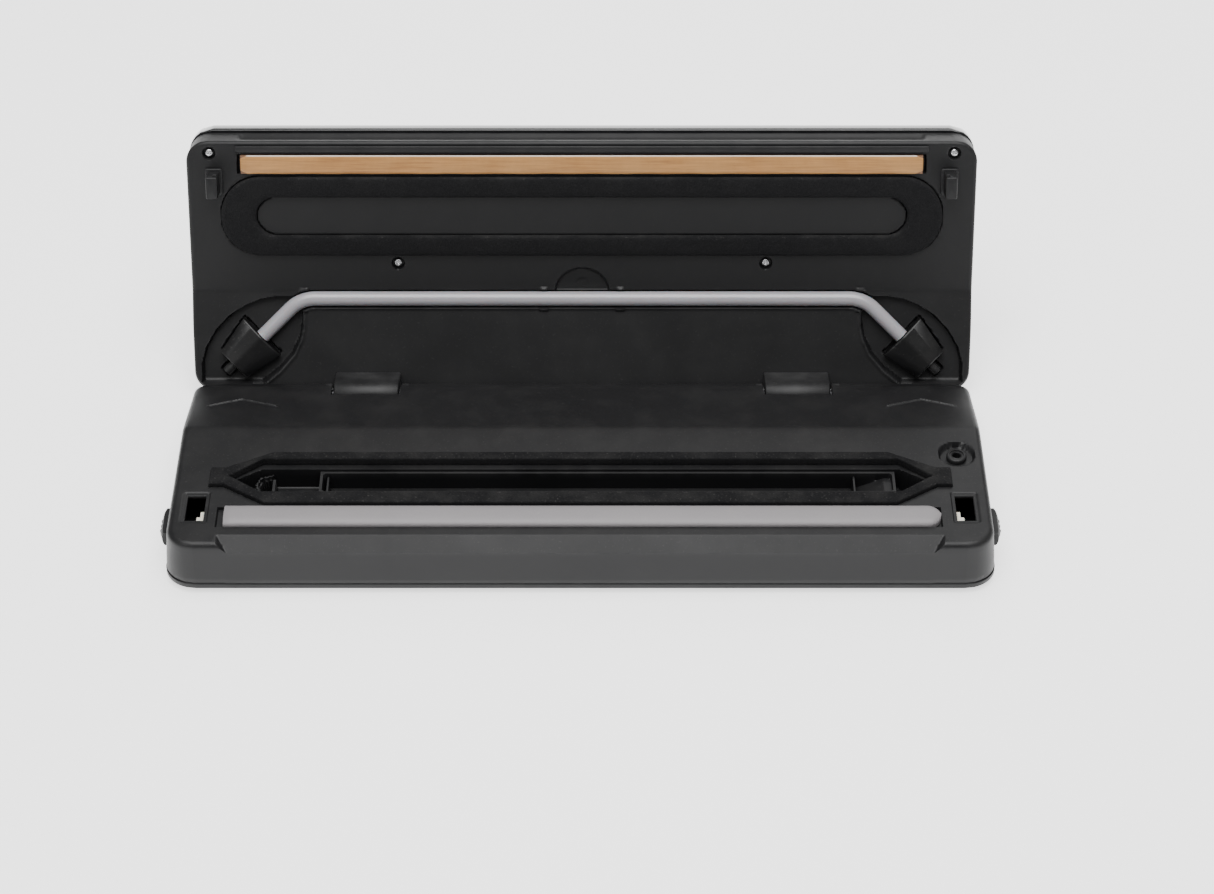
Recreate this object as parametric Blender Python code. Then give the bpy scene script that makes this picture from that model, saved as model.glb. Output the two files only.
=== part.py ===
"""Vacuum sealer with its lid open, for Blender 4.5. Metres, +Z up, front towards -Y.

Shapes are drawn in the deck frame: X to the right, Y to the back, Z up, with the origin where the
level front deck meets the sloped rear deck. Pieces of the lid are drawn as if the lid were shut.
At the end everything moves so that the open sealer stands on Z = 0, centred on its own box.
"""

from math import cos, pi, radians, sin, tan

import bmesh
import bpy
from mathutils import Matrix, Vector

mm = 0.001

# Overall sizes
HALF_WIDTH = 190 * mm           # base at deck level, side to side, halved
FRONT_DEPTH = 83.6 * mm         # crease to front wall
REAR_DEPTH = 52 * mm            # crease to rear wall
BASE_HEIGHT = 26 * mm           # deck to underside, without the feet
LID_HEIGHT = 31 * mm            # liner face to top of cover
OPEN_ANGLE = radians(109.57)    # lid at its open stop
SLOPE = radians(14)             # fall of the rear deck and of the lid's rear face
GAP = 5 * mm                    # deck to liner face with the lid shut
WALL = 2.4 * mm                 # every moulded shell
CLEAR = 0.3 * mm                # between pieces that touch
DRAFT = 2 * mm                  # how much wider the base is at its foot

# Corners
FRONT_CORNER = 13 * mm
REAR_CORNER = 10 * mm
DECK_EDGE = 3 * mm              # rounding where deck meets wall
REAR_NARROWING = 1 * mm         # the base is this much narrower on each side at the rear

# Hinge
HINGE_Y = 46 * mm
HINGE_Z = -17.5 * mm
ARM_X = 105.5 * mm              # middle of each lid arm
ARM_WIDTH = 32 * mm
BARREL_R = 6.8 * mm
PIN_R = 2 * mm
PIN_PLAY = 0.15 * mm
BOSS_WIDTH = 4 * mm
ARM_PLAY = 0.9 * mm             # slit on each side of an arm

# Vacuum chamber and its gasket, in the base
CHAMBER_Y = -37 * mm
CHAMBER_HALF_DEPTH = 8.5 * mm
CHAMBER_HALF_LENGTH = 149 * mm  # to where the ends start to taper
CHAMBER_POINT = 13 * mm         # length of each pointed end
CHAMBER_DEEP = 13 * mm
GASKET_BACK = 17 * mm           # chamber's middle line to the gasket's outer edge, back
GASKET_FRONT = 19 * mm          # and front
GASKET_BAND_BACK = 5.3 * mm
GASKET_BAND_FRONT = 8 * mm
GASKET_TAB = 7 * mm             # length of each end tab
GASKET_TAB_HALF = 6 * mm
GASKET_SEAT = 2 * mm            # depth of its seat
GASKET_PROUD = 2 * mm

# Sealing strip
STRIP_HALF_LENGTH = 166 * mm
STRIP_Y = -64.4 * mm
STRIP_WIDTH = 13.2 * mm
STRIP_SEAT = 1.5 * mm
STRIP_PROUD = 3 * mm

# Front grip bevel
LIP_HALF_LENGTH = 163 * mm
LIP_SHELF = 7.1 * mm            # from the front wall back to where the bevel starts
LIP_DROP = 5 * mm

# Latches
LATCH_X = 177.8 * mm
LATCH_Y = -57.6 * mm
SLOT_WIDTH = 8.6 * mm
SLOT_LENGTH = 17.4 * mm
SLOT_RIM = 2 * mm
HOOK_X = 178.6 * mm
HOOK_WIDTH = 5.6 * mm
HOOK_LENGTH = 10.8 * mm
HOOK_OFFSET = 2 * mm            # hook's middle behind the slot's
HOOK_REACH = 12.3 * mm
BARB = 1.4 * mm
CATCH_TOP = -3 * mm             # clears the deck's underside as the catch slides
CATCH_LIP = -4.2 * mm           # underside of the lip that holds the hook
BUTTON_LENGTH = 17.4 * mm
BUTTON_HEIGHT = 7.4 * mm
BUTTON_PROUD = 4.2 * mm
BUTTON_Z = -12 * mm
SPRING_R = 2 * mm
SPRING_LENGTH = 9 * mm

# Accessory port
PORT_X = 177 * mm
PORT_Y = -19.8 * mm
PORT_R = 8.7 * mm
PORT_DEEP = 2.6 * mm
NOZZLE_R = 4.75 * mm
BORE_R = 2 * mm

# Lid
LID_SETBACK = 6.6 * mm          # lid's front edge behind the base's
LID_OVERHANG = 2.4 * mm           # lid's front corners outside the base's, on each side
LID_NARROWING = 0.8 * mm        # the lid is this much narrower on each side at its hinge
LINER_INSET = 1.4 * mm          # liner walls inside the cover's rim
PARTING = 17 * mm               # liner face to the joint between liner and cover
COVER_EDGE = 6 * mm
HEATER_HALF_LENGTH = 165.4 * mm
HEATER_Y = -64.5 * mm
HEATER_WIDTH = 9.1 * mm
HEATER_BAR_THICK = 4 * mm
TAPE_THICK = 0.25 * mm
CLAMP_WIDTH = 3 * mm
RING_Y = -38.4 * mm
RING_HALF_LENGTH = 175.8 * mm
RING_HALF_WIDTH = 19.8 * mm
RING_HOLE_HALF_LENGTH = 158.8 * mm
RING_HOLE_HALF_WIDTH = 9.8 * mm
RING_SEAT = 1.2 * mm
CORNER_SCREW = (180.7 * mm, -69.8 * mm)
MIDDLE_SCREW = (90.2 * mm, -14.1 * mm)
SCREW_HEAD_R = 2.3 * mm
SCREW_SHANK_R = 1.2 * mm
SCREW_SEAT_R = 3.4 * mm
SCOOP_R = 13.5 * mm

# Accessory hose, measured along the lid's sloped rear face
HOSE_R = 3.6 * mm
HOSE_LINE = 3.9 * mm            # from the crease
HOSE_CORNER = 138.6 * mm        # where its straight runs would meet
HOSE_BEND = 17.5 * mm
HOSE_TAIL = 26.6 * mm           # from that corner to the connector
HOSE_TURN = radians(44.5)
HOSE_SUNK = 0.5 * mm            # its axis below the liner face, as the face is seen
CONNECTOR_LENGTH = 20 * mm
CONNECTOR_WIDE = 25.7 * mm
CONNECTOR_NARROW = 18 * mm
CONNECTOR_THICK = 9 * mm
STUB_LENGTH = 6 * mm
POCKET_DEEP = 6.5 * mm

# Controls on the outside of the lid
PANEL_X = 110 * mm
PANEL_Y = -50 * mm
PANEL_LENGTH = 90 * mm
PANEL_WIDTH = 24 * mm
KEY_R = 7 * mm
KEY_SPACING = 26 * mm

# Where the mains lead leaves, low in the rear wall
GLAND_X = -60 * mm
GLAND_Z = -21.6 * mm
GLAND_R = 3.6 * mm

FOOT_R = 7 * mm
FOOT_HEIGHT = 3 * mm
FOOT_X = 160 * mm

FRONT_Y = -FRONT_DEPTH
LID_FRONT_Y = FRONT_Y + LID_SETBACK
LID_BACK_Y = HINGE_Y + 2 * mm
HINGE = Vector((0, HINGE_Y, HINGE_Z))
FLOOR_Z = -BASE_HEIGHT
PLATE_TOP = FLOOR_Z + WALL
CHAMBER_FLOOR = -CHAMBER_DEEP
TOP_Z = GAP + LID_HEIGHT
ROOF_Z = TOP_Z - WALL
PARTING_Z = GAP + PARTING

COLOURS = {
    "body_plastic": ((0.052, 0.052, 0.056), 0.42, 0.0),
    "lid_plastic": ((0.045, 0.045, 0.049), 0.45, 0.0),
    "gloss_cover": ((0.012, 0.012, 0.014), 0.16, 0.0),
    "foam": ((0.014, 0.014, 0.015), 0.9, 0.0),
    "silicone": ((0.38, 0.37, 0.38), 0.55, 0.0),
    "hose_silicone": ((0.52, 0.51, 0.53), 0.35, 0.0),
    "ptfe_tape": ((0.58, 0.37, 0.19), 0.5, 0.0),
    "steel": ((0.62, 0.62, 0.64), 0.25, 1.0),
    "nichrome": ((0.5, 0.48, 0.45), 0.35, 1.0),
    "ivory_pom": ((0.78, 0.75, 0.66), 0.4, 0.0),
    "rubber": ((0.02, 0.02, 0.021), 0.85, 0.0),
    "phenolic": ((0.16, 0.08, 0.04), 0.6, 0.0),
    "circuit_board": ((0.02, 0.16, 0.06), 0.5, 0.0),
    "copper": ((0.6, 0.28, 0.12), 0.4, 1.0),
    "clear_window": ((0.5, 0.05, 0.04), 0.1, 0.0),
    "key_plastic": ((0.55, 0.56, 0.58), 0.35, 0.0),
}


def clear_scene():
    for obj in list(bpy.data.objects):
        bpy.data.objects.remove(obj)


# Outlines

def arc(x, y, r, start, end, steps):
    turn = [start + (end - start) * i / steps for i in range(steps + 1)]
    return [(x + r * cos(a), y + r * sin(a)) for a in turn]


def fillet(corners, radii, steps=4):
    """The outline with each corner rounded by its radius; a radius of 0 keeps the corner."""
    outline = []
    for i, (corner, radius) in enumerate(zip(corners, radii)):
        here = Vector(corner)
        before = (Vector(corners[i - 1]) - here).normalized()
        after = (Vector(corners[(i + 1) % len(corners)]) - here).normalized()
        half = before.angle(after) / 2
        if radius <= 0 or half > pi / 2 - 0.01:
            outline.append(tuple(here))
            continue
        middle = here + (before + after).normalized() * radius / sin(half)
        first = here + before * radius / tan(half) - middle
        turn = first.angle_signed(here + after * radius / tan(half) - middle)
        for k in range(steps + 1):
            spoke = first.copy()
            spoke.rotate(Matrix.Rotation(-turn * k / steps, 2))
            outline.append(tuple(middle + spoke))
    return outline


def grown(outline, distance):
    """The outline with each edge moved outwards; it runs anticlockwise."""
    moved = []
    for i, point in enumerate(outline):
        here = Vector(point)
        into = (here - Vector(outline[i - 1])).normalized()
        out = (Vector(outline[(i + 1) % len(outline)]) - here).normalized()
        normals = Vector((into.y, -into.x)), Vector((out.y, -out.x))
        mean = (normals[0] + normals[1]).normalized()
        moved.append(tuple(here + mean * distance / max(mean.dot(normals[0]), 0.3)))
    return moved


def rectangle(x0, x1, y0, y1, radius=0, steps=4):
    corners = [(x0, y0), (x1, y0), (x1, y1), (x0, y1)]
    return fillet(corners, [radius] * 4, steps) if radius else corners


def stadium(half_length, half_width, y, steps=12):
    middle = half_length - half_width
    right = arc(middle, y, half_width, -pi / 2, pi / 2, steps)
    return right + arc(-middle, y, half_width, pi / 2, 3 * pi / 2, steps)


def chamber_outline(extra=0):
    y0, y1 = CHAMBER_Y - CHAMBER_HALF_DEPTH, CHAMBER_Y + CHAMBER_HALF_DEPTH
    tip = CHAMBER_HALF_LENGTH + CHAMBER_POINT
    corners = [(-CHAMBER_HALF_LENGTH, y0), (CHAMBER_HALF_LENGTH, y0), (tip, CHAMBER_Y),
               (CHAMBER_HALF_LENGTH, y1), (-CHAMBER_HALF_LENGTH, y1), (-tip, CHAMBER_Y)]
    return grown(fillet(corners, [3 * mm, 3 * mm, 1.5 * mm] * 2), extra)


def gasket_outline(extra=0):
    y0, y1 = CHAMBER_Y - GASKET_FRONT, CHAMBER_Y + GASKET_BACK
    neck = CHAMBER_HALF_LENGTH + CHAMBER_POINT + 4 * mm
    end = neck + GASKET_TAB
    half = [(CHAMBER_HALF_LENGTH - 3 * mm, y0), (neck, CHAMBER_Y - GASKET_TAB_HALF),
            (end, CHAMBER_Y - GASKET_TAB_HALF), (end, CHAMBER_Y + GASKET_TAB_HALF),
            (neck, CHAMBER_Y + GASKET_TAB_HALF), (CHAMBER_HALF_LENGTH - 5 * mm, y1)]
    other = [(-x, y) for x, y in reversed(half)]
    radii = [4 * mm, 0, 1.2 * mm, 1.2 * mm, 0, 4 * mm]
    return grown(fillet(half + other, radii * 2), extra)


def gasket_hole():
    y0 = CHAMBER_Y - GASKET_FRONT + GASKET_BAND_FRONT
    y1 = CHAMBER_Y + GASKET_BACK - GASKET_BAND_BACK
    tip = CHAMBER_HALF_LENGTH + CHAMBER_POINT + 2 * mm
    corners = [(-CHAMBER_HALF_LENGTH, y0), (CHAMBER_HALF_LENGTH, y0), (tip, CHAMBER_Y),
               (CHAMBER_HALF_LENGTH, y1), (-CHAMBER_HALF_LENGTH, y1), (-tip, CHAMBER_Y)]
    return fillet(corners, [3 * mm, 3 * mm, 2 * mm] * 2)


def plan(half, front, back, narrowing, inset=0, steps=6):
    """Seen from above: rounded corners, and sides that draw in over the rear third."""
    half, front, back = half - inset, front + inset, back - inset
    corners = [(-half, front), (half, front), (half, back * 0.35), (half - narrowing, back),
               (narrowing - half, back), (-half, back * 0.35)]
    r_front, r_rear = FRONT_CORNER - inset, REAR_CORNER - inset
    return fillet(corners, [r_front, r_front, 30 * mm, r_rear, r_rear, 30 * mm], steps)


# Solids

def solid(bm, name="piece"):
    bmesh.ops.recalc_face_normals(bm, faces=bm.faces)
    if bm.calc_volume(signed=True) < 0:
        bmesh.ops.reverse_faces(bm, faces=bm.faces)
    mesh = bpy.data.meshes.new(name)
    bm.to_mesh(mesh)
    bm.free()
    obj = bpy.data.objects.new(name, mesh)
    bpy.context.scene.collection.objects.link(obj)
    return obj


def loft(rings, around=False):
    """A solid through rings of equally many points; with around, the last ring joins the first."""
    bm = bmesh.new()
    loops = [[bm.verts.new(p) for p in ring] for ring in rings]
    pairs = list(zip(loops, loops[1:])) + ([(loops[-1], loops[0])] if around else [])
    for low, high in pairs:
        for i in range(len(low)):
            bm.faces.new((low[i - 1], low[i], high[i], high[i - 1]))
    if not around:
        bm.faces.new(loops[0])
        bm.faces.new(loops[-1])
    return solid(bm)


def prism(outline, low, high, along="Z"):
    """The outline swept from low to high along an axis, in (x, y), (x, z) or (y, z)."""
    place = {"Z": lambda u, v, w: (u, v, w), "Y": lambda u, v, w: (u, w, v),
             "X": lambda u, v, w: (w, u, v)}[along]
    return loft([[place(u, v, w) for u, v in outline] for w in (low, high)])


def block(x0, x1, y0, y1, z0, z1):
    return prism(rectangle(x0, x1, y0, y1), z0, z1)


def turned(profile, place, sides=24, around=False):
    """A lathe shape of (radius, height) points about place's Z axis."""
    rings = [[place @ Vector((r * cos(2 * pi * i / sides), r * sin(2 * pi * i / sides), h))
              for i in range(sides)] for r, h in profile]
    return loft(rings, around)


def at(x, y, z):
    return Matrix.Translation((x, y, z))


def along_x(x, y, z):
    return at(x, y, z) @ Matrix.Rotation(pi / 2, 4, "Y")


def swept(path, radius, sides=10):
    """A round bar along the path."""
    path = [Vector(p) for p in path]
    rings = []
    side = Vector((0, 0, 1))
    for i, point in enumerate(path):
        ahead = (path[min(i + 1, len(path) - 1)] - path[max(i - 1, 0)]).normalized()
        side = (side - ahead * side.dot(ahead)).normalized()
        other = ahead.cross(side)
        rings.append([point + (side * cos(a) + other * sin(a)) * radius
                      for a in (2 * pi * k / sides for k in range(sides))])
    return loft(rings)


def apply_modifiers(obj):
    graph = bpy.context.evaluated_depsgraph_get()
    mesh = bpy.data.meshes.new_from_object(obj.evaluated_get(graph))
    obj.modifiers.clear()
    obj.data = mesh


def boolean(target, tool, operation):
    modifier = target.modifiers.new("boolean", "BOOLEAN")
    modifier.operation = operation
    modifier.object = tool
    apply_modifiers(target)
    bpy.data.objects.remove(tool)
    return target


def cut(target, *tools):
    for tool in tools:
        boolean(target, tool, "DIFFERENCE")
    return target


def join(target, *tools):
    for tool in tools:
        boolean(target, tool, "UNION")
    return target


# Placing

def empty(name, place, parent=None):
    obj = bpy.data.objects.new(name, None)
    bpy.context.scene.collection.objects.link(obj)
    obj.parent = parent
    obj.location = place
    return obj


def material(name, kind):
    colour, roughness, metallic = COLOURS[kind]
    made = bpy.data.materials.new(name)
    made.use_nodes = True
    shader = made.node_tree.nodes["Principled BSDF"]
    shader.inputs["Base Color"].default_value = (*colour, 1)
    shader.inputs["Roughness"].default_value = roughness
    shader.inputs["Metallic"].default_value = metallic
    return made


def finish(obj, name, kind, parent, parent_at=(0, 0, 0), origin=(0, 0, 0)):
    """Names the piece, gives it its material and hangs it, with its origin, on its parent."""
    obj.name = obj.data.name = name
    obj.data.transform(Matrix.Translation(-Vector(origin)))
    obj.data.materials.clear()
    obj.data.materials.append(material(name + "_finish", kind))
    obj.data.shade_smooth()
    obj.data.set_sharp_from_angle(angle=radians(32))
    obj.parent = parent
    obj.location = Vector(origin) - Vector(parent_at)
    return obj


# Base

def base_block(inset, top, bottom):
    """The outside of the base, or its hollow: drafted walls, rounded deck edge, sloped rear."""
    lower = plan(HALF_WIDTH + DRAFT, FRONT_Y - DRAFT / 2, REAR_DEPTH, REAR_NARROWING, inset)
    rings = [[(x, y, bottom) for x, y in lower]]
    for a in (0, pi / 6, pi / 3, pi / 2):
        draw = DECK_EDGE * (1 - cos(a)) + inset
        outline = plan(HALF_WIDTH, FRONT_Y, REAR_DEPTH, REAR_NARROWING, draw)
        rings.append([(x, y, top - DECK_EDGE * (1 - sin(a))) for x, y in outline])
    body = loft(rings)
    shift = top - inset * (1 / cos(SLOPE) - 1)
    ridge = HINGE_Y - 0.5 * mm
    ahead = 4 * mm
    relief = [(-ahead, ahead * tan(SLOPE) + shift), (ridge, -ridge * tan(SLOPE) + shift),
              (REAR_DEPTH + 1 * mm, HINGE_Z + shift), (REAR_DEPTH + 9 * mm, HINGE_Z + shift),
              (REAR_DEPTH + 9 * mm, 20 * mm), (-ahead, 20 * mm)]
    return cut(body, prism(relief, -1, 1, "X"))


def arm_span(side, extra=0):
    middle = side * ARM_X
    return middle - ARM_WIDTH / 2 - extra, middle + ARM_WIDTH / 2 + extra


def foot_places():
    return {f"{end}_{side_name}": (side * FOOT_X, y)
            for end, y in (("front", FRONT_Y + 15 * mm), ("rear", REAR_DEPTH - 14 * mm))
            for side_name, side in (("left", -1), ("right", 1))}


def screw_places():
    return [(x, y) for y in (FRONT_Y + 8 * mm, 24 * mm) for x in (-135 * mm, 135 * mm)]


def base_top_cover():
    body = cut(base_block(0, 0, FLOOR_Z), base_block(WALL, -WALL, FLOOR_Z - 1 * mm))
    pad = -4 * mm
    join(body,
         prism(gasket_outline(2 * mm), pad, -1 * mm),
         prism(chamber_outline(2 * mm), CHAMBER_FLOOR - 2 * mm, -1 * mm),
         block(-STRIP_HALF_LENGTH - 2 * mm, STRIP_HALF_LENGTH + 2 * mm,
               STRIP_Y - STRIP_WIDTH / 2 - 1 * mm, STRIP_Y + STRIP_WIDTH / 2 + 1 * mm, pad, -1 * mm),
         block(-LIP_HALF_LENGTH - 2 * mm, LIP_HALF_LENGTH + 2 * mm, FRONT_Y + 1 * mm,
               FRONT_Y + LIP_SHELF + 3 * mm, -LIP_DROP - 4 * mm, -1 * mm),
         turned([(PORT_R + 2 * mm, -PORT_DEEP - 2 * mm), (PORT_R + 2 * mm, -1 * mm)],
                at(PORT_X, PORT_Y, 0)))
    for x, y in screw_places():
        roof = -WALL / 2 - max(y, 0) * tan(SLOPE)
        post = turned([(3.5 * mm, PLATE_TOP + CLEAR), (3.5 * mm, roof)], at(x, y, 0), 12)
        join(body, post)
        cut(body, turned([(SCREW_SHANK_R + PIN_PLAY, PLATE_TOP), (SCREW_SHANK_R + PIN_PLAY, -14 * mm)],
                         at(x, y, 0), 12))
    add_hinge_bosses(body)
    for side in (-1, 1):
        add_latch_housing(body, side)
    lip = [(FRONT_Y + LIP_SHELF, 0), (FRONT_Y + LIP_SHELF, 3 * mm), (FRONT_Y - 5 * mm, 3 * mm),
           (FRONT_Y - 5 * mm, -LIP_DROP * 1.7), (FRONT_Y, -LIP_DROP)]
    cut(body,
        prism(gasket_outline(CLEAR), -GASKET_SEAT, 1 * mm),
        prism(chamber_outline(), CHAMBER_FLOOR, 1 * mm),
        prism(rectangle(-STRIP_HALF_LENGTH - CLEAR, STRIP_HALF_LENGTH + CLEAR,
                        STRIP_Y - STRIP_WIDTH / 2 - CLEAR, STRIP_Y + STRIP_WIDTH / 2 + CLEAR),
              -STRIP_SEAT, 1 * mm),
        prism(lip, -LIP_HALF_LENGTH, LIP_HALF_LENGTH, "X"),
        turned([(PORT_R - 1.2 * mm, -PORT_DEEP), (PORT_R + 0.5 * mm, 0.5 * mm)],
               at(PORT_X, PORT_Y, 0)),
        turned([(BORE_R + 0.9 * mm, -20 * mm), (BORE_R + 0.9 * mm, 1 * mm)],
               at(PORT_X, PORT_Y, 0), 16),
        turned([(BORE_R + 0.9 * mm, -CHAMBER_DEEP - 5 * mm), (BORE_R + 0.9 * mm, -CHAMBER_DEEP + 3 * mm)],
               at(*suction_place(), 0), 16),
        turned([(GLAND_R, -8 * mm), (GLAND_R, 8 * mm)], gland_place(), 16))
    finish(body, "base_top_cover", "body_plastic", ROOT)


def add_hinge_bosses(body):
    for side in (-1, 1):
        x0, x1 = arm_span(side, ARM_PLAY)
        for a, b in ((x0 - BOSS_WIDTH, x0 + WALL / 2), (x1 - WALL / 2, x1 + BOSS_WIDTH)):
            join(body, block(a, b, HINGE_Y - BARREL_R, REAR_DEPTH - 0.4 * mm, PLATE_TOP + CLEAR,
                             HINGE_Z + BARREL_R - 1.5 * mm))
        cut(body, block(x0, x1, HINGE_Y - 10.8 * mm, REAR_DEPTH + 5 * mm, FLOOR_Z + 1.2 * mm, 5 * mm))
        cut(body, turned([(PIN_R + PIN_PLAY, x0 - BOSS_WIDTH - 1 * mm),
                          (PIN_R + PIN_PLAY, x1 + BOSS_WIDTH + 1 * mm)],
                         along_x(0, HINGE_Y, HINGE_Z)))


def spring_seat(side):
    """Where the latch spring leans on the housing."""
    return side * (LATCH_X - SLOT_WIDTH / 2 - SPRING_LENGTH - 2 * CLEAR)


def add_latch_housing(body, side):
    x, seat = side * LATCH_X, spring_seat(side)
    y = LATCH_Y - SLOT_LENGTH / 2 + 2 * mm
    rib = sorted((seat, seat - side * 2 * mm))
    join(body, block(*rib, y - 3.5 * mm, y + 3.5 * mm, BUTTON_Z - 4 * mm, -1 * mm))
    rim = SLOT_WIDTH / 2 + SLOT_RIM
    cut(body,
        prism(rectangle(x - rim, x + rim, LATCH_Y - SLOT_LENGTH / 2 - SLOT_RIM,
                        LATCH_Y + SLOT_LENGTH / 2 + SLOT_RIM, 1.5 * mm), -0.5 * mm, 1 * mm),
        prism(rectangle(x - SLOT_WIDTH / 2, x + SLOT_WIDTH / 2, LATCH_Y - SLOT_LENGTH / 2,
                        LATCH_Y + SLOT_LENGTH / 2, 1 * mm), -6 * mm, 1 * mm))
    wall = sorted((side * (HALF_WIDTH - 5 * mm), side * (HALF_WIDTH + 5 * mm)))
    hole = rectangle(LATCH_Y - BUTTON_LENGTH / 2 - CLEAR, LATCH_Y + BUTTON_LENGTH / 2 + CLEAR,
                     BUTTON_Z - BUTTON_HEIGHT / 2 - CLEAR, BUTTON_Z + BUTTON_HEIGHT / 2 + CLEAR, 2 * mm)
    cut(body, prism(hole, *wall, "X"))


def suction_place():
    return -CHAMBER_HALF_LENGTH + 18 * mm, CHAMBER_Y


def gland_place():
    return at(GLAND_X, REAR_DEPTH, GLAND_Z) @ Matrix.Rotation(pi / 2, 4, "X")


def base_bottom_plate():
    outline = plan(HALF_WIDTH + DRAFT, FRONT_Y - DRAFT / 2, REAR_DEPTH, REAR_NARROWING, WALL + 2 * CLEAR)
    body = prism(outline, FLOOR_Z, PLATE_TOP)
    for side in (-1, 1):
        x0, x1 = arm_span(side, ARM_PLAY)
        cut(body, block(x0, x1, HINGE_Y - 9 * mm, REAR_DEPTH + 5 * mm, FLOOR_Z - 1 * mm, PLATE_TOP + 1 * mm))
    for x, y in screw_places():
        cut(body, turned([(SCREW_SHANK_R + CLEAR, FLOOR_Z - 1 * mm), (SCREW_SHANK_R + CLEAR, 0)],
                         at(x, y, 0), 12))
    finish(body, "base_bottom_plate", "body_plastic", ROOT)


def feet():
    for name, (x, y) in foot_places().items():
        top = FLOOR_Z - CLEAR
        low = FLOOR_Z - FOOT_HEIGHT
        profile = [(FOOT_R - 0.8 * mm, low), (FOOT_R, low + 0.8 * mm), (FOOT_R, top)]
        finish(turned(profile, at(x, y, 0)), f"foot_{name}", "rubber", ROOT)


def screw(place, length, name, parent, parent_at=(0, 0, 0)):
    """A pan head with a cross recess, its head down and its shank up."""
    head = turned([(SCREW_HEAD_R * 0.7, -1.3 * mm), (SCREW_HEAD_R, -0.8 * mm), (SCREW_HEAD_R, 0),
                   (SCREW_SHANK_R, 0.02 * mm), (SCREW_SHANK_R, length)], place, 16)
    for wide, deep in ((1.3 * mm, 0.28 * mm), (0.28 * mm, 1.3 * mm)):
        tool = block(-wide, wide, -deep, deep, -2 * mm, -0.7 * mm)
        tool.data.transform(place)
        cut(head, tool)
    finish(head, name, "steel", parent, parent_at, parent_at)


def base_screws():
    for i, (x, y) in enumerate(screw_places(), 1):
        screw(at(x, y, FLOOR_Z - CLEAR), 10 * mm, f"base_screw_{i}", ROOT)


def sealing_strip():
    half = STRIP_WIDTH / 2
    low = -STRIP_SEAT + CLEAR
    crown = arc(0, 0, 1, 0, pi, 10)
    section = [(STRIP_Y - half, low), (STRIP_Y + half, low)]
    section += [(STRIP_Y + half * u, 1 * mm + (STRIP_PROUD - 1 * mm) * v) for u, v in crown]
    body = prism(section, -STRIP_HALF_LENGTH, STRIP_HALF_LENGTH, "X")
    finish(body, "sealing_strip", "silicone", ROOT)


def base_gasket():
    body = prism(gasket_outline(), -GASKET_SEAT + CLEAR, GASKET_PROUD)
    cut(body, prism(gasket_hole(), -5 * mm, 5 * mm))
    finish(body, "base_gasket", "foam", ROOT)


def drip_tray():
    """A shallow trough with a handle rib at one end, dropped into the chamber."""
    top, low = -GASKET_SEAT - 0.4 * mm, CHAMBER_FLOOR + CLEAR
    half = CHAMBER_HALF_DEPTH - 1 * mm
    x0, x1 = suction_place()[0] + 9 * mm, CHAMBER_HALF_LENGTH - 2 * mm
    body = prism(rectangle(x0, x1, CHAMBER_Y - half, CHAMBER_Y + half, 3 * mm), low, top)
    cut(body, prism(rectangle(x0 + 1.2 * mm, x1 - 16 * mm, CHAMBER_Y - half + 1.2 * mm,
                              CHAMBER_Y + half - 1.2 * mm, 2 * mm), low + 1.2 * mm, top + 1 * mm))
    slant = [(x1 - 15 * mm, top + 1 * mm), (x1 - 15 * mm, top - 1 * mm), (x1 - 3 * mm, low + 3 * mm),
             (x1 + 2 * mm, low + 3 * mm), (x1 + 2 * mm, top + 1 * mm)]
    cut(body, prism(slant, CHAMBER_Y - half + 1.2 * mm, CHAMBER_Y + half - 1.2 * mm, "Y"))
    where = (0, CHAMBER_Y, low)
    finish(body, "drip_tray", "body_plastic", ROOT, origin=where)


def port_nozzle():
    low = -PORT_DEEP + CLEAR
    profile = [(BORE_R, -9 * mm), (BORE_R + 0.6 * mm, -9 * mm), (BORE_R + 0.6 * mm, low),
               (NOZZLE_R, low), (NOZZLE_R, -0.9 * mm), (NOZZLE_R - 0.6 * mm, -0.3 * mm),
               (BORE_R + 0.4 * mm, -0.3 * mm), (BORE_R, -0.7 * mm)]
    finish(turned(profile, at(PORT_X, PORT_Y, 0), 24, True), "accessory_port_nozzle", "body_plastic", ROOT)


def suction_fitting():
    floor = CHAMBER_FLOOR + CLEAR
    profile = [(BORE_R, floor - 6 * mm), (BORE_R + 0.6 * mm, floor - 6 * mm), (BORE_R + 0.6 * mm, floor),
               (4.5 * mm, floor), (4.5 * mm, floor + 1.2 * mm), (BORE_R, floor + 1.2 * mm)]
    finish(turned(profile, at(*suction_place(), 0), 20, True), "suction_fitting", "body_plastic", ROOT)


def latch_parts():
    for name, side in (("left", -1), ("right", 1)):
        release_button(name, side)
        latch_catch(name, side)
        latch_spring(name, side)


def flipped(side, *parts):
    if side < 0:
        for part in parts:
            part.data.transform(Matrix.Scale(-1, 4, (1, 0, 0)))
            part.data.flip_normals()


def release_button(name, side):
    inner, outer = HALF_WIDTH - 3 * mm, HALF_WIDTH + 0.8 * mm + BUTTON_PROUD
    y0, y1 = LATCH_Y - BUTTON_LENGTH / 2, LATCH_Y + BUTTON_LENGTH / 2
    z0, z1 = BUTTON_Z - BUTTON_HEIGHT / 2, BUTTON_Z + BUTTON_HEIGHT / 2
    wide, narrow = rectangle(y0, y1, z0, z1, 1.8 * mm), rectangle(y0, y1, z0, z1, 1.8 * mm)
    narrow = grown(narrow, -0.8 * mm)
    cap = loft([[(x, u, v) for u, v in outline]
                for x, outline in ((inner, wide), (outer - 0.8 * mm, wide), (outer, narrow))])
    flange = rectangle(y0 - 1.2 * mm, y1 + 1.2 * mm, z0 - 1.2 * mm, z1 + 1.2 * mm, 2 * mm)
    join(cap, prism(flange, inner - 1.5 * mm, inner + 0.6 * mm, "X"))
    flipped(side, cap)
    where = (side * inner, LATCH_Y, BUTTON_Z)
    finish(cap, f"release_button_{name}", "body_plastic", ROOT, origin=where)


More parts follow.
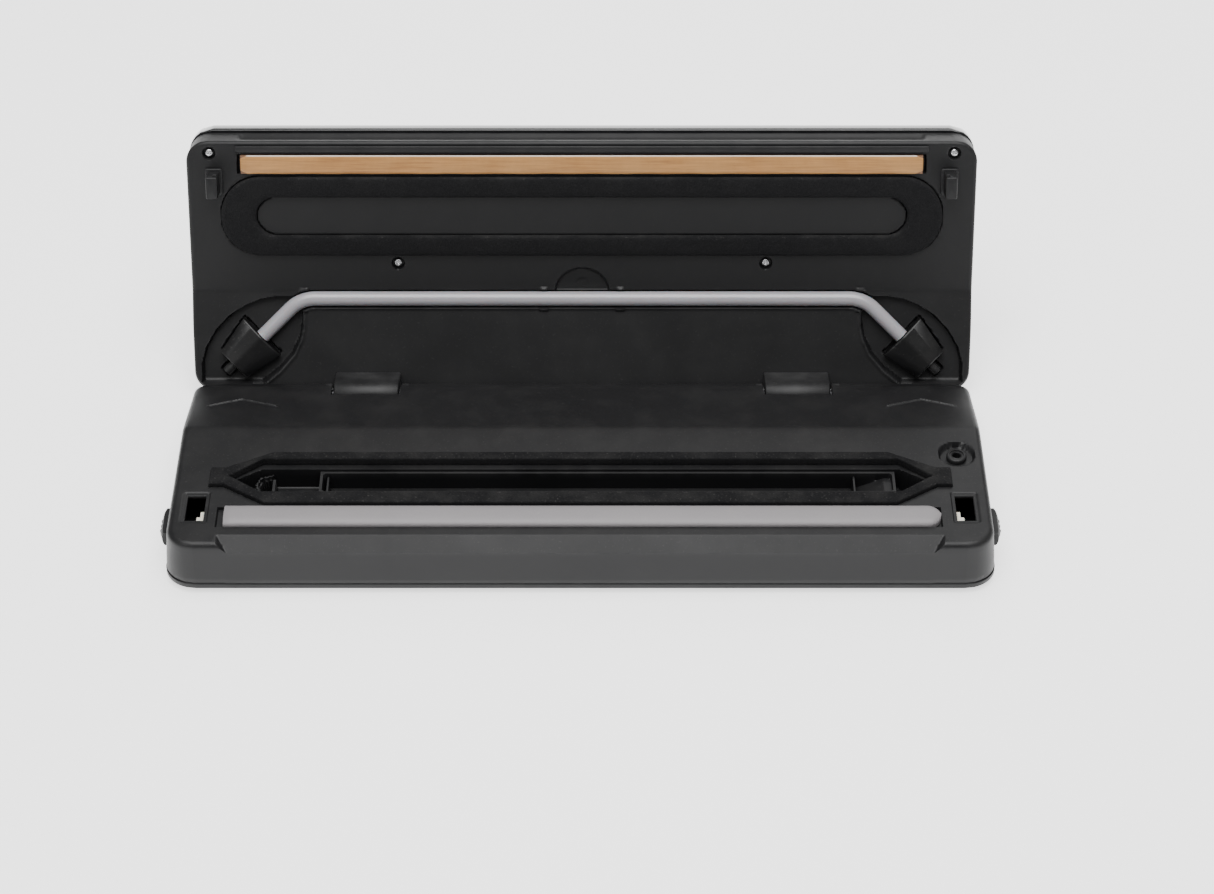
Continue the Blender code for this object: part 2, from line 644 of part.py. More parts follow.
def catch_line():
    """The catch slides along this line: its Y and Z."""
    return LATCH_Y - SLOT_LENGTH / 2 + 2 * mm, BUTTON_Z


def hook_front():
    return LATCH_Y + HOOK_OFFSET - HOOK_LENGTH / 2


def latch_catch(name, side):
    y, z = catch_line()
    x0 = LATCH_X - SLOT_WIDTH / 2 + 0.1 * mm
    x1 = HALF_WIDTH - 4.5 * mm - CLEAR
    post = x0 + 2.7 * mm
    lip_back = hook_front() - CLEAR
    body = block(x0, x1, y - 1.5 * mm, y + 1.5 * mm, z - 2 * mm, z + 2 * mm)
    join(body, block(x0, post, y - 1.5 * mm, y + 1.5 * mm, z, CATCH_TOP))
    beside_hook = HOOK_X - HOOK_WIDTH / 2 - CLEAR
    join(body, block(x0, post + 0.8 * mm, y - 1.5 * mm, lip_back, CATCH_LIP, CATCH_TOP),
         block(x0, beside_hook, y - 1.5 * mm, LATCH_Y, CATCH_LIP, CATCH_TOP))
    flipped(side, body)
    finish(body, f"latch_catch_{name}", "ivory_pom", ROOT, origin=(side * x0, y, z))


def latch_spring(name, side):
    y, z = catch_line()
    start = LATCH_X - SLOT_WIDTH / 2 + 0.1 * mm - CLEAR
    end = abs(spring_seat(side)) + CLEAR
    wire, turns, each = 0.3 * mm, 6, 12
    count = turns * each
    span = start - end - 2 * wire
    path = [(end + wire + span * i / count, y + (SPRING_R - wire) * cos(2 * pi * i / each),
             z + (SPRING_R - wire) * sin(2 * pi * i / each)) for i in range(count + 1)]
    body = swept(path, wire, 6)
    flipped(side, body)
    finish(body, f"latch_spring_{name}", "steel", ROOT)


def hinge_pins():
    for name, side in (("left", -1), ("right", 1)):
        x0, x1 = arm_span(side, ARM_PLAY + BOSS_WIDTH - CLEAR)
        profile = [(PIN_R - 0.4 * mm, x0), (PIN_R, x0 + 0.4 * mm), (PIN_R, x1 - 0.4 * mm),
                   (PIN_R - 0.4 * mm, x1)]
        finish(turned(profile, along_x(0, HINGE_Y, HINGE_Z), 20), f"hinge_pin_{name}", "steel", ROOT)


def works():
    """Pump, motor, power supply, tubes and switch under the deck."""
    low = PLATE_TOP + CLEAR
    pump_x, pump_y = -30 * mm, 2 * mm
    pump = prism(rectangle(pump_x - 17 * mm, pump_x + 17 * mm, pump_y - 13 * mm, pump_y + 13 * mm, 3 * mm),
                 low, low + 14 * mm)
    for dy in (-6 * mm, 6 * mm):
        join(pump, turned([(1.6 * mm, -25 * mm), (1.6 * mm, -16 * mm)],
                          along_x(pump_x, pump_y + dy, low + 8 * mm), 12))
    finish(pump, "vacuum_pump", "key_plastic", ROOT)
    can = [(6.5 * mm, 0), (7 * mm, 1 * mm), (7 * mm, 27 * mm), (6.5 * mm, 28 * mm)]
    motor_at = along_x(pump_x + 17 * mm + CLEAR, pump_y, low + 7.2 * mm)
    finish(turned(can, motor_at), "pump_motor", "steel", ROOT)
    board = block(58 * mm, 128 * mm, -14 * mm, 26 * mm, low + 1 * mm, low + 2.6 * mm)
    finish(board, "power_board", "circuit_board", ROOT)
    core = low + 2.6 * mm + CLEAR
    coil = prism(rectangle(64 * mm, 92 * mm, -10 * mm, 14 * mm, 1.5 * mm), core, core + 9 * mm)
    finish(coil, "transformer", "copper", ROOT)
    switch = block(-150 * mm, -138 * mm, -18 * mm, -12 * mm, -12 * mm, -WALL - CLEAR)
    finish(switch, "lid_switch", "phenolic", ROOT)
    air_tubes(pump_x - 25 * mm - CLEAR, pump_y, low + 8 * mm)


def air_tubes(pump_x, pump_y, z):
    """One tube from the pump to the chamber, one on to the accessory port."""
    fit_x, fit_y = suction_place()
    drop = CHAMBER_FLOOR - 6 * mm
    near = [(pump_x, pump_y - 6 * mm, z), (pump_x - 12 * mm, pump_y - 6 * mm, z),
            (fit_x + 30 * mm, -20 * mm, z), (fit_x + 12 * mm, -24 * mm, drop + 0.6 * mm),
            (fit_x + 8 * mm, fit_y + 4 * mm, drop - 0.4 * mm)]
    finish(swept(smooth(near), 1.8 * mm, 8), "chamber_air_tube", "hose_silicone", ROOT)
    low = PLATE_TOP + CLEAR + 2.2 * mm
    far = [(pump_x, pump_y + 6 * mm, z), (pump_x - 8 * mm, pump_y + 6 * mm, z),
           (pump_x - 15 * mm, pump_y + 12 * mm, z - 1 * mm), (pump_x - 11 * mm, 27 * mm, low + 2 * mm),
           (pump_x + 14 * mm, 31 * mm, low),
           (60 * mm, 32 * mm, low), (138 * mm, 32 * mm, low), (PORT_X - 6 * mm, 10 * mm, low + 2 * mm),
           (PORT_X - 1 * mm, PORT_Y + 10 * mm, low + 4 * mm), (PORT_X, PORT_Y, low + 6 * mm),
           (PORT_X, PORT_Y, -9 * mm - CLEAR)]
    finish(swept(smooth(far), 1.8 * mm, 8), "port_air_tube", "hose_silicone", ROOT)


def smooth(points, steps=4):
    """A Catmull-Rom curve through the points."""
    pts = [Vector(p) for p in points]
    pts = [pts[0] * 2 - pts[1]] + pts + [pts[-1] * 2 - pts[-2]]
    path = []
    for a, b, c, d in zip(pts, pts[1:], pts[2:], pts[3:]):
        for k in range(steps):
            t = k / steps
            path.append(((b * 2) + (c - a) * t + (a * 2 - b * 5 + c * 4 - d) * t * t
                         + (b * 3 - a - c * 3 + d) * t ** 3) / 2)
    return path + [pts[-2]]


def cord_gland():
    """A low strain relief: the open lid passes close behind the rear wall."""
    collar, flange, bore = GLAND_R - CLEAR, GLAND_R + 0.3 * mm, GLAND_R - 1.1 * mm
    profile = [(bore, -WALL), (collar, -WALL), (collar, CLEAR), (flange, CLEAR),
               (flange, 1.2 * mm), (collar, WALL), (bore, WALL)]
    place = gland_place() @ Matrix.Rotation(pi, 4, "X")
    finish(turned(profile, place, 16, True), "cord_gland", "rubber", ROOT)


# Lid

def back_slope():
    """The lid's rear, from its foot up and over to the top, as (y, z)."""
    foot = GAP - LID_BACK_Y * tan(SLOPE)
    return [(LID_BACK_Y, foot), (LID_BACK_Y - 7 * mm, GAP + 9.5 * mm),
            (LID_BACK_Y - 14 * mm, GAP + 21.5 * mm), (LID_BACK_Y - 28 * mm, TOP_Z - 1 * mm),
            (LID_BACK_Y - 36 * mm, TOP_Z + 1 * mm)]


def lid_profile(inset):
    """Cuts away behind the lid's back and below its sloped face, drawn in by inset."""
    reach = 30 * mm
    back = [(y - inset, z - inset * 0.6) for y, z in back_slope()]
    behind = back + [(LID_BACK_Y + reach, TOP_Z + reach), (LID_BACK_Y + reach, -reach),
                     (LID_BACK_Y - inset, -reach)]
    return prism(behind, -1, 1, "X")


def below_face(inset):
    reach = LID_BACK_Y + 10 * mm
    face = GAP + inset
    under = [(-120 * mm, face), (0, face), (reach, face - reach * tan(SLOPE)), (reach, -60 * mm),
             (-120 * mm, -60 * mm)]
    return prism(under, -1, 1, "X")


def lid_solid(inset, low, high, edge):
    """A block with the lid's plan; edge rounds its top."""
    drop = LINER_INSET if high <= PARTING_Z else 0
    back = LID_BACK_Y + 1 * mm
    half, front = HALF_WIDTH + LID_OVERHANG - drop, LID_FRONT_Y + drop
    rings = [[(x, y, low) for x, y in plan(half, front, back, LID_NARROWING, inset)]]
    turn = (0, pi / 6, pi / 3, pi / 2) if edge else (pi / 2,)
    for a in turn:
        draw = edge * (1 - cos(a)) + inset if edge else inset
        z = high - edge * (1 - sin(a))
        rings.append([(x, y, z) for x, y in plan(half, front, back, LID_NARROWING, draw)])
    return cut(loft(rings), lid_profile(inset))


def slope_place():
    """From (along X, down the sloped face, into the lid) to the deck frame."""
    return Matrix.Translation((0, 0, GAP)) @ Matrix.Rotation(-SLOPE, 4, "X")


def on_slope(obj):
    obj.data.transform(slope_place())
    return obj


def hose_path():
    """The hose's middle line on the sloped face, left to right."""
    reach = HOSE_BEND * tan(HOSE_TURN / 2)
    right = arc(HOSE_CORNER - reach, HOSE_LINE + HOSE_BEND, HOSE_BEND, -pi / 2, -pi / 2 + HOSE_TURN, 6)
    end = Vector(right[-1]) + Vector((cos(HOSE_TURN), sin(HOSE_TURN))) * (HOSE_TAIL - reach)
    right.append(tuple(end))
    left = [(-x, y) for x, y in reversed(right)]
    return [(x, y, HOSE_SUNK) for x, y in left + right]


def connector_place(side):
    """The connector's frame: X across, Y along from the wide end, on the sloped face."""
    end = Vector(hose_path()[-1])
    turn = Matrix.Rotation(side * (HOSE_TURN - pi / 2), 4, "Z")
    return Matrix.Translation((side * end.x, end.y, 0)) @ turn


def pocket_outline(side, extra=0):
    corners = [(138 * mm, 13 * mm), (141 * mm, 2.6 * mm), (160 * mm, 4 * mm), (174 * mm, 13.5 * mm),
               (183.4 * mm, 29 * mm), (183.4 * mm, 45 * mm), (157 * mm, 45 * mm), (140 * mm, 29 * mm)]
    radii = [2 * mm, 2 * mm, 14 * mm, 14 * mm, 10 * mm, 2 * mm, 10 * mm, 12 * mm]
    outline = grown(fillet(corners, radii), extra)
    outline = [(side * x, y) for x, y in outline]
    return outline if side > 0 else outline[::-1]


def lid_liner():
    body = lid_solid(0, -20 * mm, PARTING_Z - CLEAR / 2, 0)
    cut(body, below_face(0))
    hollow = cut(lid_solid(WALL, -20 * mm, PARTING_Z + 5 * mm, 0), below_face(WALL))
    cut(body, hollow)
    add_liner_pads(body)
    for side in (-1, 1):
        x0, x1 = arm_span(side)
        join(body, block(x0, x1, HINGE_Y - BARREL_R, HINGE_Y, HINGE_Z, -HINGE_Y * tan(SLOPE) + GAP + 2 * mm))
        join(body, turned([(BARREL_R, x0), (BARREL_R, x1)], along_x(0, HINGE_Y, HINGE_Z), 32))
        cut(body, turned([(PIN_R + PIN_PLAY, x0 - 1 * mm), (PIN_R + PIN_PLAY, x1 + 1 * mm)],
                         along_x(0, HINGE_Y, HINGE_Z), 20))
    cut_liner_seats(body)
    in_lid(body, "lid_liner", "lid_plastic")


def add_liner_pads(body):
    """Thickens the liner behind each seat that is cut into it."""
    half = HEATER_WIDTH / 2 + 2 * mm
    face = GAP + 1 * mm
    join(body,
         block(-HEATER_HALF_LENGTH - 3 * mm, HEATER_HALF_LENGTH + 3 * mm, HEATER_Y - half,
               HEATER_Y + half, face, GAP + HEATER_BAR_THICK + 1.5 * mm),
         prism(rectangle(-SCOOP_R - 2 * mm, SCOOP_R + 2 * mm, -14.6 * mm, 0.6 * mm), face, GAP + 6 * mm),
         on_slope(swept(hose_path(), HOSE_R + 2.4 * mm, 12)))
    for x, y in (CORNER_SCREW, MIDDLE_SCREW):
        for side in (-1, 1):
            join(body, turned([(SCREW_SEAT_R + 1 * mm, face), (SCREW_SEAT_R + 1 * mm, GAP + 4 * mm)],
                              at(side * x, y, 0), 16))
    for side in (-1, 1):
        join(body, on_slope(prism(pocket_outline(side, 2 * mm), 1 * mm, POCKET_DEEP + 2 * mm)))
    cut(body, cut(block(-1, 1, -0.2, 0.2, -40 * mm, 20 * mm), above_face()))


def above_face():
    """Everything over the liner's face, so that cutting by it leaves what pokes out below."""
    far = 250 * mm
    over = [(-far, GAP), (0, GAP), (far, GAP - far * tan(SLOPE)), (far, 60 * mm), (-far, 60 * mm)]
    return prism(over, -1.1, 1.1, "X")


def cut_liner_seats(body):
    ring = prism(stadium(RING_HALF_LENGTH + CLEAR, RING_HALF_WIDTH + CLEAR, RING_Y),
                 GAP - 1 * mm, GAP + RING_SEAT)
    cut(ring, prism(stadium(RING_HOLE_HALF_LENGTH - CLEAR, RING_HOLE_HALF_WIDTH - CLEAR, RING_Y),
                    -0.1, 0.1))
    scoop = arc(0, 1 * mm, SCOOP_R, pi, 2 * pi, 14)
    half = HEATER_WIDTH / 2 + CLEAR
    cut(body, ring,
        block(-HEATER_HALF_LENGTH - 2 * CLEAR, HEATER_HALF_LENGTH + 2 * CLEAR, HEATER_Y - half,
              HEATER_Y + half, GAP - 1 * mm, heater_face() + HEATER_BAR_THICK + CLEAR),
        prism(scoop, GAP - 1 * mm, GAP + 2.5 * mm),
        on_slope(swept(hose_path(), HOSE_R + 0.5 * mm, 16)))
    for x, y in (CORNER_SCREW, MIDDLE_SCREW):
        for side in (-1, 1):
            cut(body, turned([(SCREW_SEAT_R, GAP - 1 * mm), (SCREW_SEAT_R, GAP + 1.5 * mm)],
                             at(side * x, y, 0), 20),
                turned([(SCREW_SHANK_R + CLEAR, 0), (SCREW_SHANK_R + CLEAR, GAP + 9 * mm)],
                       at(side * x, y, 0), 12))
    for side in (-1, 1):
        cut(body, on_slope(prism(pocket_outline(side), -4 * mm, POCKET_DEEP)))


def in_lid(body, name, kind):
    finish(body, name, kind, LID, HINGE, HINGE)


def lid_outer_cover():
    body = lid_solid(0, PARTING_Z + CLEAR / 2, TOP_Z, COVER_EDGE)
    cut(body, lid_solid(WALL, PARTING_Z - 2 * mm, ROOF_Z, COVER_EDGE - WALL))
    for x, y in (CORNER_SCREW, MIDDLE_SCREW):
        for side in (-1, 1):
            base = GAP + 4 * mm + CLEAR
            join(body, turned([(3 * mm, base), (3 * mm, ROOF_Z + 1 * mm)], at(side * x, y, 0), 12))
            cut(body, turned([(SCREW_SHANK_R + PIN_PLAY, base - 1 * mm),
                              (SCREW_SHANK_R + PIN_PLAY, base + 9 * mm)], at(side * x, y, 0), 12))
    half = PANEL_LENGTH / 2 + CLEAR
    cut(body, prism(rectangle(PANEL_X - half, PANEL_X + half, PANEL_Y - PANEL_WIDTH / 2 - CLEAR,
                              PANEL_Y + PANEL_WIDTH / 2 + CLEAR, 4 * mm), TOP_Z - 1 * mm, TOP_Z + 2 * mm))
    for x in key_places():
        cut(body, turned([(KEY_R + CLEAR, 0), (KEY_R + CLEAR, 0.1)], at(x, PANEL_Y, 0), 24))
    in_lid(body, "lid_outer_cover", "gloss_cover")


def key_places():
    return [PANEL_X - PANEL_LENGTH / 2 + 15 * mm + KEY_SPACING * i for i in range(2)]


def controls():
    low, high = TOP_Z - 1 * mm + CLEAR, TOP_Z + 0.3 * mm
    panel = prism(rectangle(PANEL_X - PANEL_LENGTH / 2, PANEL_X + PANEL_LENGTH / 2,
                            PANEL_Y - PANEL_WIDTH / 2, PANEL_Y + PANEL_WIDTH / 2, 4 * mm), low, high)
    for x in key_places():
        cut(panel, turned([(KEY_R + CLEAR, 0), (KEY_R + CLEAR, 0.1)], at(x, PANEL_Y, 0), 24))
    in_lid(panel, "control_panel", "body_plastic")
    window = prism(rectangle(PANEL_X + 18 * mm, PANEL_X + 36 * mm, PANEL_Y - 3 * mm, PANEL_Y + 3 * mm, 2 * mm),
                   high + CLEAR, high + CLEAR + 0.5 * mm)
    in_lid(window, "indicator_window", "clear_window")
    for name, x in zip(("vacuum_seal_key", "seal_key"), key_places()):
        flange = ROOF_Z - CLEAR
        profile = [(KEY_R + 1.5 * mm, flange - 1.2 * mm), (KEY_R + 1.5 * mm, flange), (KEY_R, flange + 0.05 * mm),
                   (KEY_R, high + 0.7 * mm), (KEY_R - 0.5 * mm, high + 1.1 * mm)]
        key = turned(profile, at(x, PANEL_Y, 0))
        finish(key, name, "key_plastic", LID, HINGE, (x, PANEL_Y, TOP_Z))
    z = ROOF_Z - CLEAR - 1.2 * mm - 1.5 * mm
    board = block(PANEL_X - 40 * mm, PANEL_X + 40 * mm, PANEL_Y - 11 * mm, PANEL_Y + 11 * mm, z - 1.6 * mm, z)
    in_lid(board, "control_board", "circuit_board")


def heater_face():
    """Height of the heater bar's working face with the lid shut."""
    return STRIP_PROUD + CLEAR + TAPE_THICK + CLEAR


def heater():
    face = heater_face()
    half = HEATER_WIDTH / 2
    bar = block(-HEATER_HALF_LENGTH, HEATER_HALF_LENGTH, HEATER_Y - half, HEATER_Y + half, face,
                face + HEATER_BAR_THICK)
    cut(bar, block(-1, 1, HEATER_Y - 1.7 * mm, HEATER_Y + 1.7 * mm, face - 1 * mm, face + 0.8 * mm))
    in_lid(bar, "heater_bar", "phenolic")
    length = HEATER_HALF_LENGTH - 4 * mm
    wire = block(-length, length, HEATER_Y - 1.3 * mm, HEATER_Y + 1.3 * mm, face + 0.1 * mm, face + 0.4 * mm)
    in_lid(wire, "heating_wire", "nichrome")
    tape = block(-HEATER_HALF_LENGTH, HEATER_HALF_LENGTH, HEATER_Y - half, HEATER_Y + half,
                 face - CLEAR - TAPE_THICK, face - CLEAR)
    in_lid(tape, "heater_tape", "ptfe_tape")
    y = HEATER_Y - half - 1.6 * mm
    clamp = block(-HEATER_HALF_LENGTH - 2.6 * mm, HEATER_HALF_LENGTH + 2.6 * mm, y - CLAMP_WIDTH, y,
                  GAP - CLEAR - 1.3 * mm, GAP - CLEAR)
    in_lid(clamp, "tape_clamp_strip", "lid_plastic")


def lid_gasket():
    low, high = GASKET_PROUD + CLEAR, GAP + RING_SEAT - CLEAR
    body = prism(stadium(RING_HALF_LENGTH, RING_HALF_WIDTH, RING_Y), low, high)
    cut(body, prism(stadium(RING_HOLE_HALF_LENGTH, RING_HOLE_HALF_WIDTH, RING_Y), -0.1, 0.1))
    in_lid(body, "lid_gasket", "foam")


def lid_screws():
    for kind, (x, y) in (("corner", CORNER_SCREW), ("middle", MIDDLE_SCREW)):
        for end, side in (("left", -1), ("right", 1)):
            screw(at(side * x, y, GAP + 1.5 * mm - CLEAR), 10 * mm, f"lid_screw_{kind}_{end}", LID, HINGE)


def latch_hooks():
    for name, side in (("left", -1), ("right", 1)):
        y0 = hook_front()
        y1 = y0 + HOOK_LENGTH
        x0, x1 = HOOK_X - HOOK_WIDTH / 2, HOOK_X + HOOK_WIDTH / 2
        tip = GAP - HOOK_REACH
        body = block(x0, x1, y0, y1, tip, GAP - CLEAR)
        join(body, block(x0 - 1.5 * mm, x1 + 1.5 * mm, y0 - 1.5 * mm, y1 + 1.5 * mm, GAP - CLEAR - 1.2 * mm,
                         GAP - CLEAR))
        barb = [(y0 + 1 * mm, tip), (y0, tip), (y0 - BARB, tip + 1.2 * mm), (y0 - BARB, tip + 2.8 * mm),
                (y0 + 1 * mm, tip + 2.8 * mm)]
        join(body, prism(barb, x0, x0 + 2.1 * mm, "X"))
        flipped(side, body)
        in_lid(body, f"latch_hook_{name}", "lid_plastic")


def accessory_hose():
    """The spare hose in its groove, with a tapered connector pushed on each end."""
    where = (0, HOSE_LINE, GAP)
    hose = on_slope(swept(hose_path(), HOSE_R, 14))
    finish(hose, "accessory_hose", "hose_silicone", LID, HINGE, where)
    for name, side in (("left", -1), ("right", 1)):
        body = connector()
        body.data.transform(slope_place() @ connector_place(side))
        finish(body, f"hose_connector_{name}", "lid_plastic", LID, HINGE, where)


def connector():
    """A tapered block with a ridge along its middle, and a stub at its narrow end."""
    deep = POCKET_DEEP - CLEAR
    proud = CONNECTOR_THICK - deep
    wide, narrow = CONNECTOR_WIDE / 2, CONNECTOR_NARROW / 2
    rings = []
    for y, half in ((CLEAR, wide), (CONNECTOR_LENGTH, narrow)):
        rings.append([(-half, y, deep), (half, y, deep), (half, y, -proud * 0.1),
                      (half * 0.45, y, -proud), (-half * 0.45, y, -proud), (-half, y, -proud * 0.1)])
    body = loft(rings)
    stub = block(-2.4 * mm, 2.4 * mm, CONNECTOR_LENGTH - 1 * mm, CONNECTOR_LENGTH + STUB_LENGTH, -0.5 * mm, deep - 1 * mm)
    return join(body, stub)


def stand_on_floor():
    """Moves the whole sealer so that its box is centred on X = Y = 0 and stands on Z = 0."""
    bpy.context.view_layer.update()
    corners = [obj.matrix_world @ Vector(c) for obj in bpy.data.objects if obj.type == "MESH"
               for c in (v.co for v in obj.data.vertices)]
    low = Vector(min(c[i] for c in corners) for i in range(3))
    high = Vector(max(c[i] for c in corners) for i in range(3))
    ROOT.location -= Vector(((low.x + high.x) / 2, (low.y + high.y) / 2, low.z))


clear_scene()
ROOT = empty("base_frame", (0, 0, 0))
LID = empty("lid_hinge", HINGE, ROOT)
LID.rotation_euler.x = -OPEN_ANGLE
base_top_cover()
base_bottom_plate()
feet()
base_screws()
sealing_strip()
base_gasket()
drip_tray()
port_nozzle()
suction_fitting()
latch_parts()
hinge_pins()
works()
cord_gland()
lid_liner()
lid_outer_cover()
controls()
heater()
lid_gasket()
lid_screws()
latch_hooks()
accessory_hose()
stand_on_floor()
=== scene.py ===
import math

import bpy
import numpy as np
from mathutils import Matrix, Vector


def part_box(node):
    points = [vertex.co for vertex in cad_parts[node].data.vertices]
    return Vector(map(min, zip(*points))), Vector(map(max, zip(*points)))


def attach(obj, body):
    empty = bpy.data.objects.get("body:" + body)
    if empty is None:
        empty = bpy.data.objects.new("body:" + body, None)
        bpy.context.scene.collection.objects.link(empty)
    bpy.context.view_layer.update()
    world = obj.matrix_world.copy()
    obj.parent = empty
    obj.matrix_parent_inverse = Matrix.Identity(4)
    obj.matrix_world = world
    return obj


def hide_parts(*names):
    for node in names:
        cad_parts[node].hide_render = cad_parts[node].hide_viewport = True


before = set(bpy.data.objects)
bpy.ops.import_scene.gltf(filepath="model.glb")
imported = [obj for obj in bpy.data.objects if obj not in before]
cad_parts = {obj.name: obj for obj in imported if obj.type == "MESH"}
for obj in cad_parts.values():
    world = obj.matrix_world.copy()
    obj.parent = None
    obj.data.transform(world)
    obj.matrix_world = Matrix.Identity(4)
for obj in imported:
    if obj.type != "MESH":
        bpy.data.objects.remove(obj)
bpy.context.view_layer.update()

# Shapes are worked out in millimetres in the deck frame: X right, Y back, Z up, with zero where the
# level front deck meets the sloped rear deck. Lid shapes are worked out with the lid shut.
coverLow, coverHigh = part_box("base_top_cover")
deckOrigin = np.array([0.0, coverLow.y + 0.0846, coverHigh.z])
hinge = {"y": 46.0, "z": -17.5, "tilt": math.radians(19.57)}
slope = math.tan(math.radians(14))
lidGap = 5.0


def openLid(p):
    # a turn about the hinge line, from shut to the open stop
    a, b = p[:, 1] - hinge["y"], p[:, 2] - hinge["z"]
    s, c = math.sin(hinge["tilt"]), math.cos(hinge["tilt"])
    return np.stack([p[:, 0], hinge["y"] - a * s + b * c, hinge["z"] - a * c - b * s], 1)


def makePiece(name, points, faces, lid=False, sharp=38):
    # faces is a list of index arrays, each three or four wide; unused points are left out
    points = openLid(points) if lid else points
    used, loops = np.unique(np.concatenate([f.ravel() for f in faces]), return_inverse=True)
    sizes = np.concatenate([np.full(len(f), f.shape[1]) for f in faces])
    starts = np.concatenate([[0], np.cumsum(sizes)[:-1]])
    mesh = bpy.data.meshes.new(name)
    mesh.vertices.add(len(used))
    mesh.loops.add(len(loops))
    mesh.polygons.add(len(sizes))
    world = points[used] * 0.001 + deckOrigin
    mesh.vertices.foreach_set("co", world.astype(np.float32).ravel())
    mesh.loops.foreach_set("vertex_index", loops.ravel().astype(np.int32))
    mesh.polygons.foreach_set("loop_start", starts.astype(np.int32))
    mesh.update(calc_edges=True)
    mesh.shade_smooth()
    mesh.set_sharp_from_angle(angle=math.radians(sharp))
    piece = bpy.data.objects.new(name, mesh)
    bpy.context.scene.collection.objects.link(piece)
    return piece


def settle(piece, body, finish, slot, *nodes):
    piece.data.materials.clear()
    piece.data.materials.append(finishes[finish])
    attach(piece, body)
    if nodes:
        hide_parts(*nodes)
    return piece


def addModifier(piece, kind, **values):
    modifier = piece.modifiers.new(kind.lower(), kind)
    for key, value in values.items():
        setattr(modifier, key, value)
    return piece


def spacedLines(stops, steps, extra=()):
    # evenly spaced lines between each pair of stops, with the extra ones put in exactly
    parts = [np.linspace(a, b, max(int(round((b - a) / s)), 1) + 1)
             for a, b, s in zip(stops, stops[1:], steps)]
    lines = np.unique(np.round(np.concatenate(parts), 4))
    for value in extra:
        lines = lines[(np.abs(lines - value) > 0.07) | (lines == lines[0]) | (lines == lines[-1])]
    return np.unique(np.concatenate([lines, np.array(extra, float)]))


def mirroredLines(stops, steps, extra=()):
    half = spacedLines(stops, steps, extra)
    return np.unique(np.concatenate([-half, half]))


def lineDistance(x, y, points):
    # distance to an open line of straight runs
    best = np.full(x.shape, 1e9)
    for (ax, ay), (bx, by) in zip(points, points[1:]):
        ex, ey, px, py = bx - ax, by - ay, x - ax, y - ay
        t = np.clip((px * ex + py * ey) / (ex * ex + ey * ey), 0, 1)
        best = np.minimum(best, np.hypot(px - t * ex, py - t * ey))
    return best


def polygonDistance(x, y, corners):
    # signed distance to a closed outline, below zero inside: each side that a point's row crosses flips it
    inside = np.zeros(x.shape, bool)
    for (ax, ay), (bx, by) in zip(corners, corners[1:] + corners[:1]):
        rise = by - ay or 1e-9
        inside ^= ((ay > y) != (by > y)) & (x < (bx - ax) * (y - ay) / rise + ax)
    distance = lineDistance(x, y, corners + corners[:1])
    return np.where(inside, -distance, distance)


def stadiumDistance(x, y, halfLength, halfWidth, middle):
    return np.hypot(np.maximum(np.abs(x) - (halfLength - halfWidth), 0), y - middle) - halfWidth


def boxDistance(x, y, cx, cy, hx, hy, r=0.0):
    qx, qy = np.abs(x - cx) - hx + r, np.abs(y - cy) - hy + r
    return np.hypot(np.maximum(qx, 0), np.maximum(qy, 0)) + np.minimum(np.maximum(qx, qy), 0) - r


def ease(t):
    t = np.clip(t, 0, 1)
    return t * t * (3 - 2 * t)


def dip(distance, depth, run):
    # a recess of this depth whose wall falls smoothly over run, inside the outline
    return depth * ease(-distance / run)


def shellFaces(rows, columns, rings):
    # the grid's quads, then quads from its border out through each ring
    index = np.arange(rows * columns).reshape(rows, columns)
    grid = np.stack([index[:-1, :-1], index[:-1, 1:], index[1:, 1:], index[1:, :-1]], -1)
    border = np.concatenate([index[0], index[1:, -1], index[-1, -2::-1], index[-2:0:-1, 0]])
    loops = [border] + [rows * columns + k * len(border) + np.arange(len(border)) for k in range(rings)]
    skirt = [np.stack([a, b, np.roll(b, -1), np.roll(a, -1)], -1) for a, b in zip(loops, loops[1:])]
    return np.concatenate([grid.reshape(-1, 4)] + skirt), border


def widthAt(y, half, front, back, rFront, rBack, narrowing):
    # half width of the plan at each y: straight sides that draw in to the rear, and round corners
    side = half - narrowing * ease((y - back * 0.25) / (back * 0.85))
    a, b = np.clip(front + rFront - y, 0, rFront), np.clip(y - back + rBack, 0, rBack)
    width = side - (rFront - np.sqrt(rFront ** 2 - a ** 2)) - (rBack - np.sqrt(rBack ** 2 - b ** 2))
    ny = np.where(a > 0, -a / rFront, b / rBack)
    return width, np.sqrt(np.maximum(1 - ny ** 2, 0)), ny


def planGrid(xLines, yLines, fixed, **plan):
    # a grid whose outer columns follow the plan, with the outward direction round its border
    width, nx, ny = widthAt(yLines, **plan)
    reach = np.maximum(np.abs(xLines) - fixed, 0) / (xLines.max() - fixed)
    inner = np.sign(xLines) * np.minimum(np.abs(xLines), fixed)
    x = inner[None, :] + np.sign(xLines)[None, :] * reach[None, :] * (width[:, None] - fixed)
    y = np.repeat(yLines[:, None], len(xLines), 1)
    n = len(xLines)
    outX = np.concatenate([np.zeros(n), nx[1:], np.zeros(n - 1), -nx[-2:0:-1]])
    outY = np.concatenate([np.full(n, -1.0), ny[1:], np.full(n - 1, 1.0), ny[-2:0:-1]])
    return x, y, outX, outY


def outsideBoxes(points, faces, boxes):
    # drops the faces whose middle lies in any box of low and high corners
    middle = points[faces].mean(1)
    keep = np.ones(len(faces), bool)
    for low, high in boxes:
        keep &= ~((middle > low).all(1) & (middle < high).all(1))
    return faces[keep]


